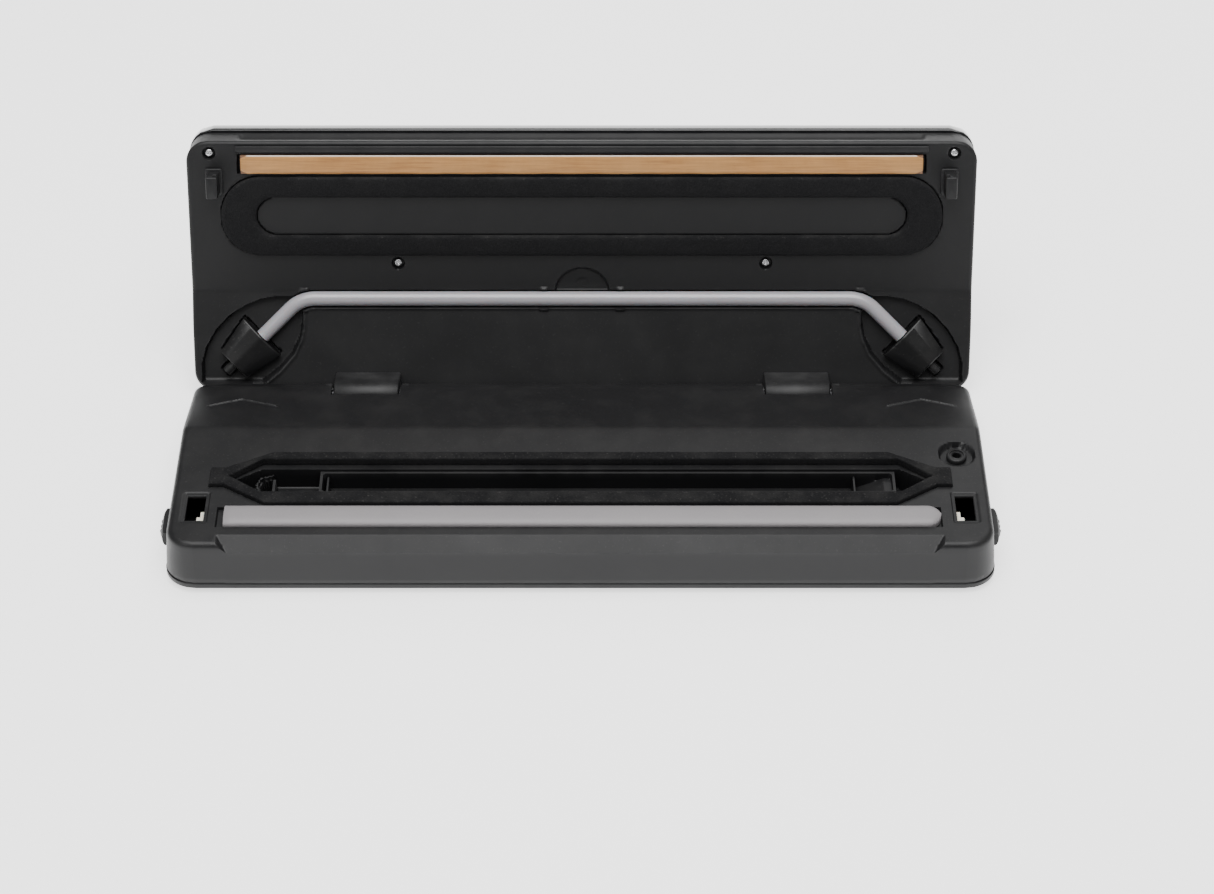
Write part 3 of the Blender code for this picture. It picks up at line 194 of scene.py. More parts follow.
def loftFaces(rings, count, caps=True):
    # quads between rings of count points, and a fan to an added middle point at each end
    index = np.arange(rings * count).reshape(rings, count)
    after = np.roll(index, -1, 1)
    quads = np.stack([index[:-1], after[:-1], after[1:], index[1:]], -1)
    faces = [quads.reshape(-1, 4)]
    if caps:
        first, last, tip = index[0], index[-1], rings * count
        faces.append(np.stack([np.roll(first, -1), first, np.full(count, tip)], -1))
        faces.append(np.stack([last, np.roll(last, -1), np.full(count, tip + 1)], -1))
    return faces


def loft(name, rings, lid=False, sharp=38):
    # a closed solid through rings, an array of (ring, point, xyz), anticlockwise about the way they run
    points = np.concatenate([rings.reshape(-1, 3), rings[:1].mean(1), rings[-1:].mean(1)])
    return makePiece(name, points, loftFaces(rings.shape[0], rings.shape[1]), lid, sharp)


def roundedOutline(hx, hy, r):
    # a rectangle of half sizes hx and hy with quarter circles of radius r at its corners
    corner = 6
    a = np.concatenate([np.linspace(q, q + 0.5 * np.pi, corner) for q in np.arange(4) * 0.5 * np.pi])
    sx = np.repeat([1, -1, -1, 1], corner) * (hx - r)
    sy = np.repeat([1, 1, -1, -1], corner) * (hy - r)
    return np.stack([sx + r * np.cos(a), sy + r * np.sin(a)], 1)


def roundedBlock(name, low, high, r, edge, lid=False, around="z"):
    # a block with round corners about one axis and quarter-round ends
    order = {"z": [0, 1, 2], "x": [1, 2, 0], "y": [2, 0, 1]}[around]
    lo, hi = np.array(low, float)[order], np.array(high, float)[order]
    mid, half = (lo + hi) / 2, (hi - lo) / 2
    turn = np.linspace(0, 0.5 * np.pi, 4)
    inset, rise = edge * (1 - np.sin(turn)), edge * (1 - np.cos(turn))
    rings = []
    for e, level in zip(np.concatenate([inset, inset[::-1]]),
                        np.concatenate([lo[2] + rise, hi[2] - rise[::-1]])):
        outline = roundedOutline(half[0] - e, half[1] - e, max(r - e, 0.05)) + mid[:2]
        rings.append(np.column_stack([outline, np.full(len(outline), level)]))
    return loft(name, np.array(rings)[:, :, np.argsort(order)], lid)


def turned(name, profile, centre, axis=(0, 0, 1), sides=48, lid=False, sharp=38, closed=False):
    # a profile of (radius, height) carried round an axis; closed joins its last point to its first
    axis = np.array(axis, float) / np.linalg.norm(axis)
    side = np.cross(axis, [0, 1, 0] if abs(axis[1]) < 0.9 else [1, 0, 0])
    side /= np.linalg.norm(side)
    other = np.cross(axis, side)
    a = np.linspace(0, 2 * np.pi, sides, endpoint=False)
    spoke = np.cos(a)[:, None] * side + np.sin(a)[:, None] * other
    p = np.array(profile, float)
    rings = p[:, 0][:, None, None] * spoke[None] + p[:, 1][:, None, None] * axis + np.array(centre, float)
    if not closed:
        return loft(name, rings, lid, sharp)
    points = rings.reshape(-1, 3)
    faces = loftFaces(len(p), sides, caps=False)[0]
    index = np.arange(len(p) * sides).reshape(len(p), sides)
    joint = np.stack([index[-1], np.roll(index[-1], -1), np.roll(index[0], -1), index[0]], -1)
    return makePiece(name, points, [faces, joint], lid, sharp)


def swept(name, path, outline, lid=False, sharp=38):
    # an outline of (side, up) carried square to the path
    path = np.array(path, float)
    ahead = np.gradient(path, axis=0)
    ahead /= np.linalg.norm(ahead, axis=1)[:, None]
    side = np.cross(ahead, (0, 0, 1))
    side /= np.linalg.norm(side, axis=1)[:, None]
    over = np.cross(side, ahead)
    rings = path[:, None] + outline[None, :, :1] * side[:, None] + outline[None, :, 1:2] * over[:, None]
    return loft(name, rings[:, ::-1], lid, sharp)


def band(name, outer, inner, profile, lid=False):
    # a closed ring between two matching outlines: profile gives (share across, height) in turn
    p = np.array(profile, float)
    rings = outer[None] * (1 - p[:, 0])[:, None, None] + inner[None] * p[:, 0][:, None, None]
    rings = np.concatenate([rings, np.broadcast_to(p[:, 1][:, None, None], rings.shape[:2] + (1,))], 2)
    count, n = len(p), len(outer)
    index = np.arange(count * n).reshape(count, n)
    nxt = np.roll(index, -1, 0)
    faces = np.stack([index, np.roll(index, -1, 1), np.roll(nxt, -1, 1), nxt], -1).reshape(-1, 4)
    return makePiece(name, rings.reshape(-1, 3), [faces[:, ::-1] if lid else faces], lid, 50)


def resampled(corners, counts):
    # each straight run of a closed outline cut into its own number of steps
    runs = zip(corners, corners[1:] + corners[:1], counts)
    parts = [np.linspace(a, b, n, endpoint=False) for a, b, n in runs]
    return np.concatenate(parts)


def slab(name, u, v, height, rings, turn=None):
    # a closed solid: a height over a grid, walls through rings of (outset, level), and a flat foot
    x, y = np.meshgrid(u, v)
    faces, border = shellFaces(len(v), len(u), len(rings))
    top = np.stack([x, y, height(x, y)], 2).reshape(-1, 3)
    rim = top[border]
    out = np.column_stack([(rim[:, 0] >= u[-1]) * 1.0 - (rim[:, 0] <= u[0]),
                           (rim[:, 1] >= v[-1]) * 1.0 - (rim[:, 1] <= v[0])])
    walls = [np.column_stack([rim[:, :2] + out * d, np.full(len(rim), level)]) for d, level in rings]
    points = np.concatenate([top] + walls + [walls[-1].mean(0)[None]])
    n = len(border)
    last = len(points) - 1 - n + np.arange(n)
    foot = np.stack([np.roll(last, -1), last, np.full(n, len(points) - 1)], 1)
    if turn is not None:
        points = turn(points)
    return makePiece(name, points, [faces, foot])


finishes = {}


def feed(tree, socket, value):
    # a socket takes either another node's output or a constant
    if isinstance(value, bpy.types.NodeSocket):
        tree.links.new(value, socket)
    else:
        socket.default_value = value


def put(tree, kind, inputs=None, **settings):
    made = tree.nodes.new("ShaderNode" + kind)
    for key, value in settings.items():
        setattr(made, key, value)
    for key, value in (inputs or {}).items():
        feed(tree, made.inputs[key], value)
    return made


def calc(tree, operation, a, b=0.0, c=0.0):
    made = put(tree, "Math", operation=operation)
    for socket, value in zip(made.inputs, (a, b, c)):
        feed(tree, socket, value)
    return made.outputs[0]


def mixed(tree, amount, a, b):
    made = put(tree, "Mix", {0: amount, 6: a, 7: b}, data_type="RGBA")
    return made.outputs[2]


def mapped(tree, value, low, high, toLow=0.0, toHigh=1.0):
    return put(tree, "MapRange", {0: value, 1: low, 2: high, 3: toLow, 4: toHigh}).outputs[0]


def noise(tree, vector, scale, detail=3.0, rough=0.55):
    sockets = {"Vector": vector, "Scale": scale, "Detail": detail, "Roughness": rough}
    return put(tree, "TexNoise", sockets).outputs[0]


def newGroup(name, inputs, outputs):
    tree = bpy.data.node_groups.new(name, "ShaderNodeTree")
    for socket, kind in inputs:
        tree.interface.new_socket(socket, in_out="INPUT", socket_type="NodeSocket" + kind)
    for socket, kind in outputs:
        tree.interface.new_socket(socket, in_out="OUTPUT", socket_type="NodeSocket" + kind)
    return tree, tree.nodes.new("NodeGroupInput").outputs, tree.nodes.new("NodeGroupOutput").inputs


def makeGroups():
    groups = {}
    # moulded grain: fine noise for the height, broad noise that shifts colour and roughness
    tree, given, made = newGroup(
        "mouldedGrain", [("Vector", "Vector"), ("Scale", "Float"), ("Mottle", "Float"), ("Colour", "Color"),
                         ("Roughness", "Float")],
        [("Colour", "Color"), ("Roughness", "Float"), ("Height", "Float")])
    fine = noise(tree, given["Vector"], given["Scale"], 2.0, 0.6)
    broad = noise(tree, given["Vector"], calc(tree, "MULTIPLY", given["Scale"], 0.012), 4.0, 0.6)
    shift = calc(tree, "SUBTRACT", broad, 0.5)
    gain = calc(tree, "MULTIPLY_ADD", calc(tree, "MULTIPLY", shift, given["Mottle"]), 2.0, 1.0)
    gain = calc(tree, "MULTIPLY_ADD", calc(tree, "SUBTRACT", fine, 0.5),
                calc(tree, "MULTIPLY", given["Mottle"], 1.2), gain)
    tinted = put(tree, "VectorMath", {0: given["Colour"], "Scale": gain}, operation="SCALE").outputs[0]
    tree.links.new(tinted, made["Colour"])
    tree.links.new(calc(tree, "MULTIPLY_ADD", shift, 0.22, given["Roughness"]), made["Roughness"])
    tree.links.new(fine, made["Height"])
    groups["grain"] = tree

    # edge wear and dust: lighter where the surface is most convex, a pale film where it faces up
    tree, given, made = newGroup("edgeAndDust", [("Vector", "Vector"), ("Colour", "Color"), ("Edge", "Float"),
                                                 ("Dust", "Float")], [("Colour", "Color"), ("Film", "Float")])
    geometry = put(tree, "NewGeometry")
    patches = noise(tree, given["Vector"], 60.0, 4.0, 0.65)
    edge = mapped(tree, geometry.outputs["Pointiness"], 0.515, 0.6)
    edge = calc(tree, "MULTIPLY", edge, given["Edge"])
    edge = calc(tree, "MULTIPLY", edge, mapped(tree, patches, 0.3, 0.6))
    worn = put(tree, "VectorMath", {0: given["Colour"], 1: (1.9, 1.9, 1.9), 2: (0.03, 0.03, 0.03)},
               operation="MULTIPLY_ADD").outputs[0]
    rise = put(tree, "SeparateXYZ", {0: geometry.outputs["Normal"]}).outputs[2]
    specks = mapped(tree, noise(tree, given["Vector"], 900.0, 2.0), 0.62, 0.72)
    film = calc(tree, "MAXIMUM", mapped(tree, patches, 0.45, 0.8, 0.0, 0.5), specks)
    film = calc(tree, "MULTIPLY", calc(tree, "MULTIPLY", film, mapped(tree, rise, 0.2, 0.95)), given["Dust"])
    colour = mixed(tree, edge, given["Colour"], worn)
    tree.links.new(mixed(tree, film, colour, (0.32, 0.31, 0.29, 1)), made["Colour"])
    tree.links.new(film, made["Film"])
    groups["wear"] = tree

    # woven glass cloth: two sets of ribs at right angles, with lengthwise streaks where it has browned
    tree, given, made = newGroup("wovenCloth", [("Vector", "Vector"), ("Pitch", "Float")],
                                 [("Height", "Float"), ("Streak", "Float"), ("Across", "Float")])
    along = put(tree, "SeparateXYZ", {0: given["Vector"]}).outputs
    waveA = calc(tree, "SINE", calc(tree, "MULTIPLY", along[0], given["Pitch"]))
    waveB = calc(tree, "SINE", calc(tree, "MULTIPLY", along[1], given["Pitch"]))
    tree.links.new(calc(tree, "MULTIPLY_ADD", calc(tree, "MULTIPLY", waveA, waveB), 0.35,
                        calc(tree, "MULTIPLY", waveA, 0.3)), made["Height"])
    stretch = put(tree, "CombineXYZ", {0: calc(tree, "MULTIPLY", along[0], 0.035), 1: along[1]}).outputs[0]
    tree.links.new(noise(tree, stretch, 900.0, 4.0, 0.7), made["Streak"])
    tree.links.new(along[1], made["Across"])
    groups["weave"] = tree

    # foam: small open cells
    tree, given, made = newGroup("foamCells", [("Vector", "Vector"), ("Scale", "Float"), ("Colour", "Color")],
                                 [("Colour", "Color"), ("Height", "Float")])
    cells = put(tree, "TexVoronoi", {"Vector": given["Vector"], "Scale": given["Scale"]}, feature="F1")
    cells = cells.outputs["Distance"]
    rough = noise(tree, given["Vector"], calc(tree, "MULTIPLY", given["Scale"], 0.5), 4.0, 0.7)
    tree.links.new(calc(tree, "ADD", cells, calc(tree, "MULTIPLY", rough, 0.5)), made["Height"])
    tone = mapped(tree, calc(tree, "ADD", cells, rough), 0.3, 1.3, 0.6, 1.6)
    tree.links.new(put(tree, "VectorMath", {0: given["Colour"], "Scale": tone}, operation="SCALE").outputs[0],
                   made["Colour"])
    groups["foam"] = tree
    return groups


groups = makeGroups()


def placeGroup(tree, name, inputs):
    made = put(tree, "Group", node_tree=groups[name])
    for key, value in inputs.items():
        feed(tree, made.inputs[key], value)
    return made.outputs


def startMaterial(name, sockets):
    made = bpy.data.materials.new(name)
    made.use_nodes = True
    tree = made.node_tree
    shader = tree.nodes["Principled BSDF"]
    for key, value in sockets.items():
        shader.inputs[key].default_value = value
    return made, tree, shader, put(tree, "TexCoord").outputs["Object"]


def addBump(tree, shader, height, strength, depth):
    bump = put(tree, "Bump", {"Strength": strength, "Distance": depth, "Height": height})
    tree.links.new(bump.outputs[0], shader.inputs["Normal"])


def grained(name, colour, roughness, grain=2600.0, mottle=0.12, edge=0.5, dust=0.12, bump=0.25, **sockets):
    # moulded or metal finish: grain, then worn edges and a little dust
    made, tree, shader, where = startMaterial(name, {k.replace("_", " "): v for k, v in sockets.items()})
    body = placeGroup(tree, "grain", {"Vector": where, "Scale": grain, "Mottle": mottle,
                                      "Colour": (*colour, 1), "Roughness": roughness})
    worn = placeGroup(tree, "wear", {"Vector": where, "Colour": body["Colour"], "Edge": edge, "Dust": dust})
    tree.links.new(worn["Colour"], shader.inputs["Base Color"])
    rough = calc(tree, "MULTIPLY_ADD", worn["Film"], 0.3, body["Roughness"])
    tree.links.new(rough, shader.inputs["Roughness"])
    addBump(tree, shader, body["Height"], bump, 0.00006)
    finishes[name] = made


def foamed(name, colour):
    made, tree, shader, where = startMaterial(name, {"Roughness": 0.95, "Specular IOR Level": 0.2})
    cells = placeGroup(tree, "foam", {"Vector": where, "Scale": 1500.0, "Colour": (*colour, 1)})
    worn = placeGroup(tree, "wear", {"Vector": where, "Colour": cells["Colour"], "Edge": 0.2, "Dust": 0.1})
    tree.links.new(worn["Colour"], shader.inputs["Base Color"])
    addBump(tree, shader, cells["Height"], 0.7, 0.0003)
    finishes[name] = made


def woven(name, colours, centre, pitch):
    # the cloth's own frame: X along the bar, Y towards the lid's front edge
    sockets = {"Roughness": 0.42, "Coat Weight": 0.25, "Coat Roughness": 0.3}
    made, tree, shader, where = startMaterial(name, sockets)
    lean = (math.radians(90) - hinge["tilt"], 0, 0)
    turn = put(tree, "Mapping", {0: where, 2: lean}, vector_type="TEXTURE")
    turn.inputs["Location"].default_value = centre
    cloth = placeGroup(tree, "weave", {"Vector": turn.outputs[0], "Pitch": pitch})
    streak = mapped(tree, cloth["Streak"], 0.36, 0.66)
    tone = mixed(tree, streak, (*colours["brown"], 1), (*colours["tan"], 1))
    blotch = mapped(tree, noise(tree, where, 45.0, 5.0), 0.35, 0.7)
    tone = mixed(tree, calc(tree, "MULTIPLY", blotch, 0.35), tone, (*colours["pale"], 1))
    threads = mapped(tree, cloth["Height"], -0.5, 0.6, 0.78, 1.12)
    tone = put(tree, "VectorMath", {0: tone, "Scale": threads}, operation="SCALE").outputs[0]
    # a pale band painted along the cloth's front fold: partly the white layer showing at the edge, partly a
    # painted highlight on the fold
    line = calc(tree, "MULTIPLY", mapped(tree, cloth["Across"], 0.0042, 0.00435),
                mapped(tree, cloth["Across"], 0.0052, 0.0049))
    tree.links.new(mixed(tree, line, tone, (0.85, 0.82, 0.76, 1)), shader.inputs["Base Color"])
    addBump(tree, shader, cloth["Height"], 0.35, 0.00012)
    finishes[name] = made


def makeFinishes():
    grained("bodyPlastic", (0.008, 0.008, 0.0086), 0.42, dust=0.05, Specular_IOR_Level=0.28)
    grained("lidPlastic", (0.0085, 0.0085, 0.009), 0.44, mottle=0.1, dust=0.05, Specular_IOR_Level=0.3)
    grained("glossCover", (0.010, 0.010, 0.011), 0.13, grain=700.0, mottle=0.05, bump=0.02, dust=0.08,
            Coat_Weight=0.6, Coat_Roughness=0.05)
    grained("connectorPlastic", (0.005, 0.005, 0.0054), 0.34, Specular_IOR_Level=0.34)
    grained("greySilicone", (0.235, 0.222, 0.228), 0.5, grain=1800.0, mottle=0.1, edge=0.15, dust=0.25)
    grained("clearHose", (0.34, 0.33, 0.35), 0.24, grain=900.0, mottle=0.14, edge=0.1, dust=0.1, bump=0.05,
            Coat_Weight=0.5, Coat_Roughness=0.12, Subsurface_Weight=0.15, Subsurface_Scale=0.003)
    grained("steel", (0.60, 0.60, 0.61), 0.26, grain=1400.0, mottle=0.12, edge=0.6, dust=0.1, bump=0.08,
            Metallic=1.0)
    grained("darkSteel", (0.07, 0.07, 0.075), 0.45, grain=1400.0, mottle=0.2, bump=0.1, Metallic=1.0)
    grained("heatWire", (0.50, 0.47, 0.43), 0.38, grain=2200.0, mottle=0.2, bump=0.15, Metallic=1.0)
    grained("ivoryCatch", (0.70, 0.66, 0.55), 0.4, grain=1500.0, mottle=0.06, edge=0.2, Subsurface_Weight=0.1,
            Subsurface_Scale=0.002)
    grained("softRubber", (0.017, 0.017, 0.018), 0.8, grain=1300.0, mottle=0.2, dust=0.25, bump=0.4)
    grained("barPhenolic", (0.12, 0.06, 0.03), 0.6, grain=900.0, mottle=0.5, bump=0.3)
    grained("boardGreen", (0.015, 0.12, 0.045), 0.45, grain=500.0, mottle=0.45, bump=0.3, Coat_Weight=0.3)
    grained("windingCopper", (0.55, 0.25, 0.11), 0.4, grain=1600.0, mottle=0.35, bump=0.5, Metallic=0.85)
    grained("redWindow", (0.30, 0.02, 0.015), 0.12, grain=800.0, mottle=0.2, Coat_Weight=0.5)
    grained("keyPlastic", (0.42, 0.43, 0.45), 0.32, grain=1900.0, mottle=0.06, Coat_Weight=0.15)
    foamed("blackFoam", (0.0055, 0.0055, 0.006))


base = {"half": 190.0, "front": -83.6, "back": 52.0, "floor": -26.0, "edge": 3.0, "narrowing": 0.2,
        "rFront": 13.0, "rBack": 10.0, "draftX": 2.0, "draftY": 1.0, "wall": 2.2,
        "lipShelf": -76.5, "lipTop": 166.6, "lipFoot": 161.8, "lipDrop": 5.0}
chamber = {"y": -37.0, "half": 8.5, "straight": 149.0, "point": 13.0, "deep": 13.0}
gasket = {"front": 19.0, "back": 17.0, "bandFront": 8.0, "bandBack": 5.3, "tab": 7.0, "tabHalf": 6.0,
          "seat": 2.0}
strip = {"half": 166.0, "leftEnd": -163.9, "roundFrom": 160.0, "y": -64.4, "width": 13.2, "seat": 1.5,
         "proud": 3.0}
latch = {"x": 177.8, "y": -57.6, "hx": 4.3, "hy": 8.7, "rim": 2.0}
port = {"x": 177.0, "y": -19.8, "r": 8.9, "deep": 2.6}
arms = {"x": 105.5, "half": 16.0, "play": 0.9, "r": 6.8, "room": 10.8}
button = {"y": latch["y"], "z": -12.0, "hy": 8.7, "hz": 3.7, "inner": 185.6, "outer": 194.1, "ribPitch": 1.6}
tray = {"x0": -122.0, "x1": 147.0, "half": 7.5, "top": -2.6, "low": -12.7, "floor": 1.4}


def bothSides(half):
    return half + [(-x, y) for x, y in reversed(half)]


def chamberCorners():
    tip, y = chamber["straight"] + chamber["point"], chamber["y"]
    return bothSides([(chamber["straight"], y - chamber["half"]), (tip, y),
                      (chamber["straight"], y + chamber["half"])])


def gasketCorners(grow=0.0):
    y, neck = chamber["y"], chamber["straight"] + chamber["point"] + 4
    end, tab = neck + gasket["tab"] + grow, gasket["tabHalf"] + grow
    return bothSides([(chamber["straight"] - 3, y - gasket["front"] - grow), (neck, y - tab), (end, y - tab),
                      (end, y + tab), (neck, y + tab), (chamber["straight"] - 5, y + gasket["back"] + grow)])


def lipDepth(x, y):
    # the lesser of the front bevel's depth and that of the facet at each end
    front = (base["lipShelf"] - y) * base["lipDrop"] / (base["lipShelf"] - base["front"])
    end = (base["lipTop"] - np.abs(x)) * base["lipDrop"] / (base["lipTop"] - base["lipFoot"])
    return np.clip(np.minimum(front, end), 0, None)


def deckHeight(x, y, lip=True):
    # a level plane that turns down at the crease, less every recess, plus the raised lines
    ax = np.abs(x)
    z = -slope * (np.sqrt(y ** 2 + 1.5) + y) / 2 - 0.57 * (np.sqrt((y - 45.5) ** 2 + 3) + y - 45.5) / 2
    shoulder = ease((y - 2) / 32) * np.clip((ax - 172) / 15, 0, 1) ** 2
    z = z - 1.2 * shoulder
    z = z - dip(polygonDistance(x, y, gasketCorners(0.3)), gasket["seat"], 0.35)
    z = z - dip(polygonDistance(x, y, chamberCorners()), chamber["deep"] - gasket["seat"], 0.45)
    seat = boxDistance(x, y, -0.5, strip["y"], strip["half"] + 0.9, strip["width"] / 2 + 0.3, 0.4)
    z = z - dip(seat, strip["seat"], 0.3)
    rim = boxDistance(ax, y, latch["x"], latch["y"], latch["hx"] + latch["rim"],
                      latch["hy"] + latch["rim"], 1.5)
    z = z - dip(rim, 0.6, 0.4)
    r = np.hypot(x - port["x"], y - port["y"])
    z = z - dip(r - port["r"], port["deep"], 1.3) - dip(r - 2.9, 5.0, 0.4)
    chevron = [(147.5, 22.4), (164.5, 29.6), (180.0, 22.8)]
    z = z + 0.8 * np.exp(-(lineDistance(ax, y, chevron) / 0.45) ** 2)
    mark = np.hypot(x + 2, y - 15.7) - 2.3
    z = z - 0.3 * np.exp(-(mark / 0.35) ** 2)
    hook = [(-144.5, -44.0), (-150.0, -42.0), (-151.6, -37.0), (-150.0, -32.0), (-144.5, -30.0)]
    guard = lineDistance(x, y, hook)
    rib = np.minimum(lineDistance(x, y, [(-143.6, -45.5), (-143.6, -33.0)]), guard)
    z = np.where(rib < 0.75, np.maximum(z, -4.6), z)
    return np.minimum(z, -lipDepth(x, y)) if lip else z


def makeBaseShell():
    inset = base["edge"]
    plan = {"half": base["half"] - inset, "front": base["front"] + inset, "back": base["back"] - inset,
            "rFront": base["rFront"] - inset, "rBack": base["rBack"] - inset, "narrowing": base["narrowing"]}
    slotX = (latch["x"] - latch["hx"], latch["x"] + latch["hx"])
    slotY = (latch["y"] - latch["hy"], latch["y"] + latch["hy"])
    armFront = hinge["y"] - arms["room"]
    buttonY = (-66.6, -48.6)
    notch = (arms["x"] - arms["half"] - arms["play"], arms["x"] + arms["half"] + arms["play"])
    xLines = mirroredLines([0, 2, 5, 88, 123, 141, 187], [0.6, 1, 8, 7, 6, 0.62],
                           [*notch, *slotX, base["lipFoot"], base["lipTop"], 166.3, 173.3])
    yLines = spacedLines([plan["front"], -45, -28, -18, 2, 20, 32, 49], [0.5, 0.7, 0.5, 1.2, 2, 0.6, 1.1],
                         [*slotY, base["lipShelf"], -71.3, -71.0, -57.8, -57.5, -56.3, -56.0, -45.5, -45.1,
                          -28.9, -28.5, -20.0, -19.7, armFront, *buttonY])
    x, y, outX, outY = planGrid(xLines, yLines, 140.0, **plan)
    points = [np.stack([x, y, deckHeight(x, y)], 2).reshape(-1, 3)]
    turn = np.linspace(0, 0.5 * np.pi, 6)[1:]
    rounding = [(inset * math.sin(a), inset * (1 - math.cos(a))) for a in turn]
    levels = [(-5.5, 0.1), (-8.0, 0.2), (-12.0, 0.4), (-16.0, 0.58), (-20.0, 0.72), (-22.5, 0.8),
              (-22.9, 0.55), (-23.2, 0.55), (-23.6, 0.98), (-25.6, 1.0), (-26.0, 0.9)]
    faces, border = shellFaces(len(yLines), len(xLines), len(rounding) + len(levels))
    bx, by = x.ravel()[border], y.ravel()[border]
    level = deckHeight(bx, by, lip=False)
    for out, drop in rounding:
        rx, ry = bx + outX * out, by + outY * out
        z = np.minimum(level - drop, -lipDepth(rx, ry))
        points.append(np.stack([rx, ry, z], 1))
    edge = z
    for low, draft in levels:
        share = (low + inset) / (base["floor"] + inset)
        z = edge + (base["floor"] - edge) * share
        rx = bx + outX * (inset + base["draftX"] * draft)
        ry = by + outY * (inset + np.where(outY < 0, base["draftY"], 0.0) * draft)
        points.append(np.stack([rx, ry, z], 1))
    points = np.concatenate(points)
    boxes = []
    for side in (-1, 1):
        lo, hi = sorted((side * notch[0], side * notch[1]))
        boxes.append(((lo, armFront, -24.6), (hi, 60, 5)))
        lo, hi = sorted((side * slotX[0], side * slotX[1]))
        boxes.append(((lo, slotY[0], -9), (hi, slotY[1], 5)))
        lo, hi = sorted((side * 184, side * 200))
        boxes.append(((lo, buttonY[0], -16.1), (hi, buttonY[1], -7.9)))
    shell = makePiece("base_shell", points, [outsideBoxes(points, faces, boxes)], sharp=42)
    addModifier(shell, "SOLIDIFY", thickness=base["wall"] * 0.001, offset=-1.0)
    return settle(shell, "base", "bodyPlastic", "body_plastic", "base_top_cover")


def makeStrip():
    # a D section carried along the strip, its plan rounded at the right end
    turn = np.linspace(0, np.pi, 22)
    half, low = strip["width"] / 2, -strip["seat"] + 0.3
    crown = np.column_stack([np.cos(turn), 0.2 + (strip["proud"] - 0.2) * np.sin(turn) ** 0.7])
    section = np.concatenate([[[-1, low], [1, low]], crown])
    left, start = strip["leftEnd"], strip["roundFrom"]
    x = np.concatenate([[left, left + 0.2], np.arange(-160, 160, 8), np.linspace(start, strip["half"], 14)])
    wide = np.sqrt(np.clip(1 - (np.clip(x - start + 0.4, 0, 6.35) / 6.45) ** 2, 0.02, 1))
    tall = np.where(x > start, 1 - 0.25 * ((x - start) / 6) ** 2, 1.0)
    tall[0] = 0.96
    y = strip["y"] + half * section[None, :, 0] * wide[:, None]
    z = low + (section[None, :, 1] - low) * tall[:, None]
    rings = np.stack([np.repeat(x[:, None], len(section), 1), y, z], 2)
    return settle(loft("seal_strip", rings, sharp=50), "base", "greySilicone", "silicone", "sealing_strip")


def makeBaseFoam():
    counts = [6, 6, 6, 8, 6, 60] * 2
    outer = np.array(gasketCorners())
    tip, y = chamber["straight"] + chamber["point"] + 2, chamber["y"]
    front, back = y - gasket["front"] + gasket["bandFront"], y + gasket["back"] - gasket["bandBack"]
    half = [(chamber["straight"], front), (tip - 1.2, y - 0.9), (tip, y - 0.4), (tip, y + 0.4),
            (tip - 1.2, y + 0.9), (chamber["straight"], back)]
    inner = np.array(bothSides(half))
    outer, inner = resampled([*map(tuple, outer)], counts), resampled([*map(tuple, inner)], counts)
    profile = [(0.0, -1.7), (0.0, 1.2), (0.03, 1.7), (0.1, 1.95), (0.3, 2.0), (0.6, 2.0), (0.88, 1.95),
               (0.96, 1.7), (1.0, 1.2), (1.0, -1.7), (0.5, -1.7)]
    foam = band("base_foam_ring", np.array(outer), np.array(inner), profile)
    return settle(foam, "base", "blackFoam", "foam", "base_gasket")


def makeTray():
    # the trough's floor and walls as one height, with a slanted pocket and cross ribs at its right end
    x0, x1, half, top, low = tray["x0"], tray["x1"], tray["half"], tray["top"], tray["low"]
    rampX, ribX, wall = 128.0, -118.6, 1.2

    def height(x, y):
        inner = boxDistance(x, y, (x0 + x1) / 2, chamber["y"], (x1 - x0) / 2 - wall, half - wall, 2.0)
        z = top - dip(inner, top - low - tray["floor"], 0.8)
        ramp = low + tray["floor"] + np.clip((x - rampX) / 14, 0, 1) * 6.0
        z = np.maximum(z, np.where(inner < -0.2, ramp, z))
        ribs = np.minimum(np.abs(x - rampX), np.abs(x - ribX))
        return np.where((ribs < 0.6) & (inner < 0), np.maximum(z, -4.4), z)

    u = spacedLines([x0, x0 + 6, 120, x1], [0.4, 6, 0.4])
    v = spacedLines([chamber["y"] - half, chamber["y"] + half], [0.4])
    piece = slab("juice_tray", u, v, height, [(0.0, top - 0.6), (-0.2, low + 0.5), (-0.6, low)])
    return settle(piece, "drip_tray", "bodyPlastic", "body_plastic", "drip_tray")


def makePortParts():
    r = [(2.0, -8.6), (2.6, -8.6), (2.6, -2.3), (4.75, -2.3), (4.75, -1.0), (4.5, -0.55), (4.1, -0.35),
         (3.4, -0.3), (3.2, -0.75), (2.7, -0.8), (2.3, -0.6), (2.0, -0.9)]
    nozzle = turned("port_nozzle", r, (port["x"], port["y"], 0), closed=True)
    settle(nozzle, "base", "bodyPlastic", "body_plastic", "accessory_port_nozzle")
    fit = [(2.0, -18.7), (2.6, -18.7), (2.6, -12.7), (4.5, -12.7), (4.5, -11.9), (4.2, -11.5), (2.4, -11.5),
           (2.0, -11.9)]
    fitting = turned("suction_boss", fit, (-chamber["straight"] + 18, chamber["y"], 0), closed=True)
    settle(fitting, "base", "bodyPlastic", "body_plastic", "suction_fitting")


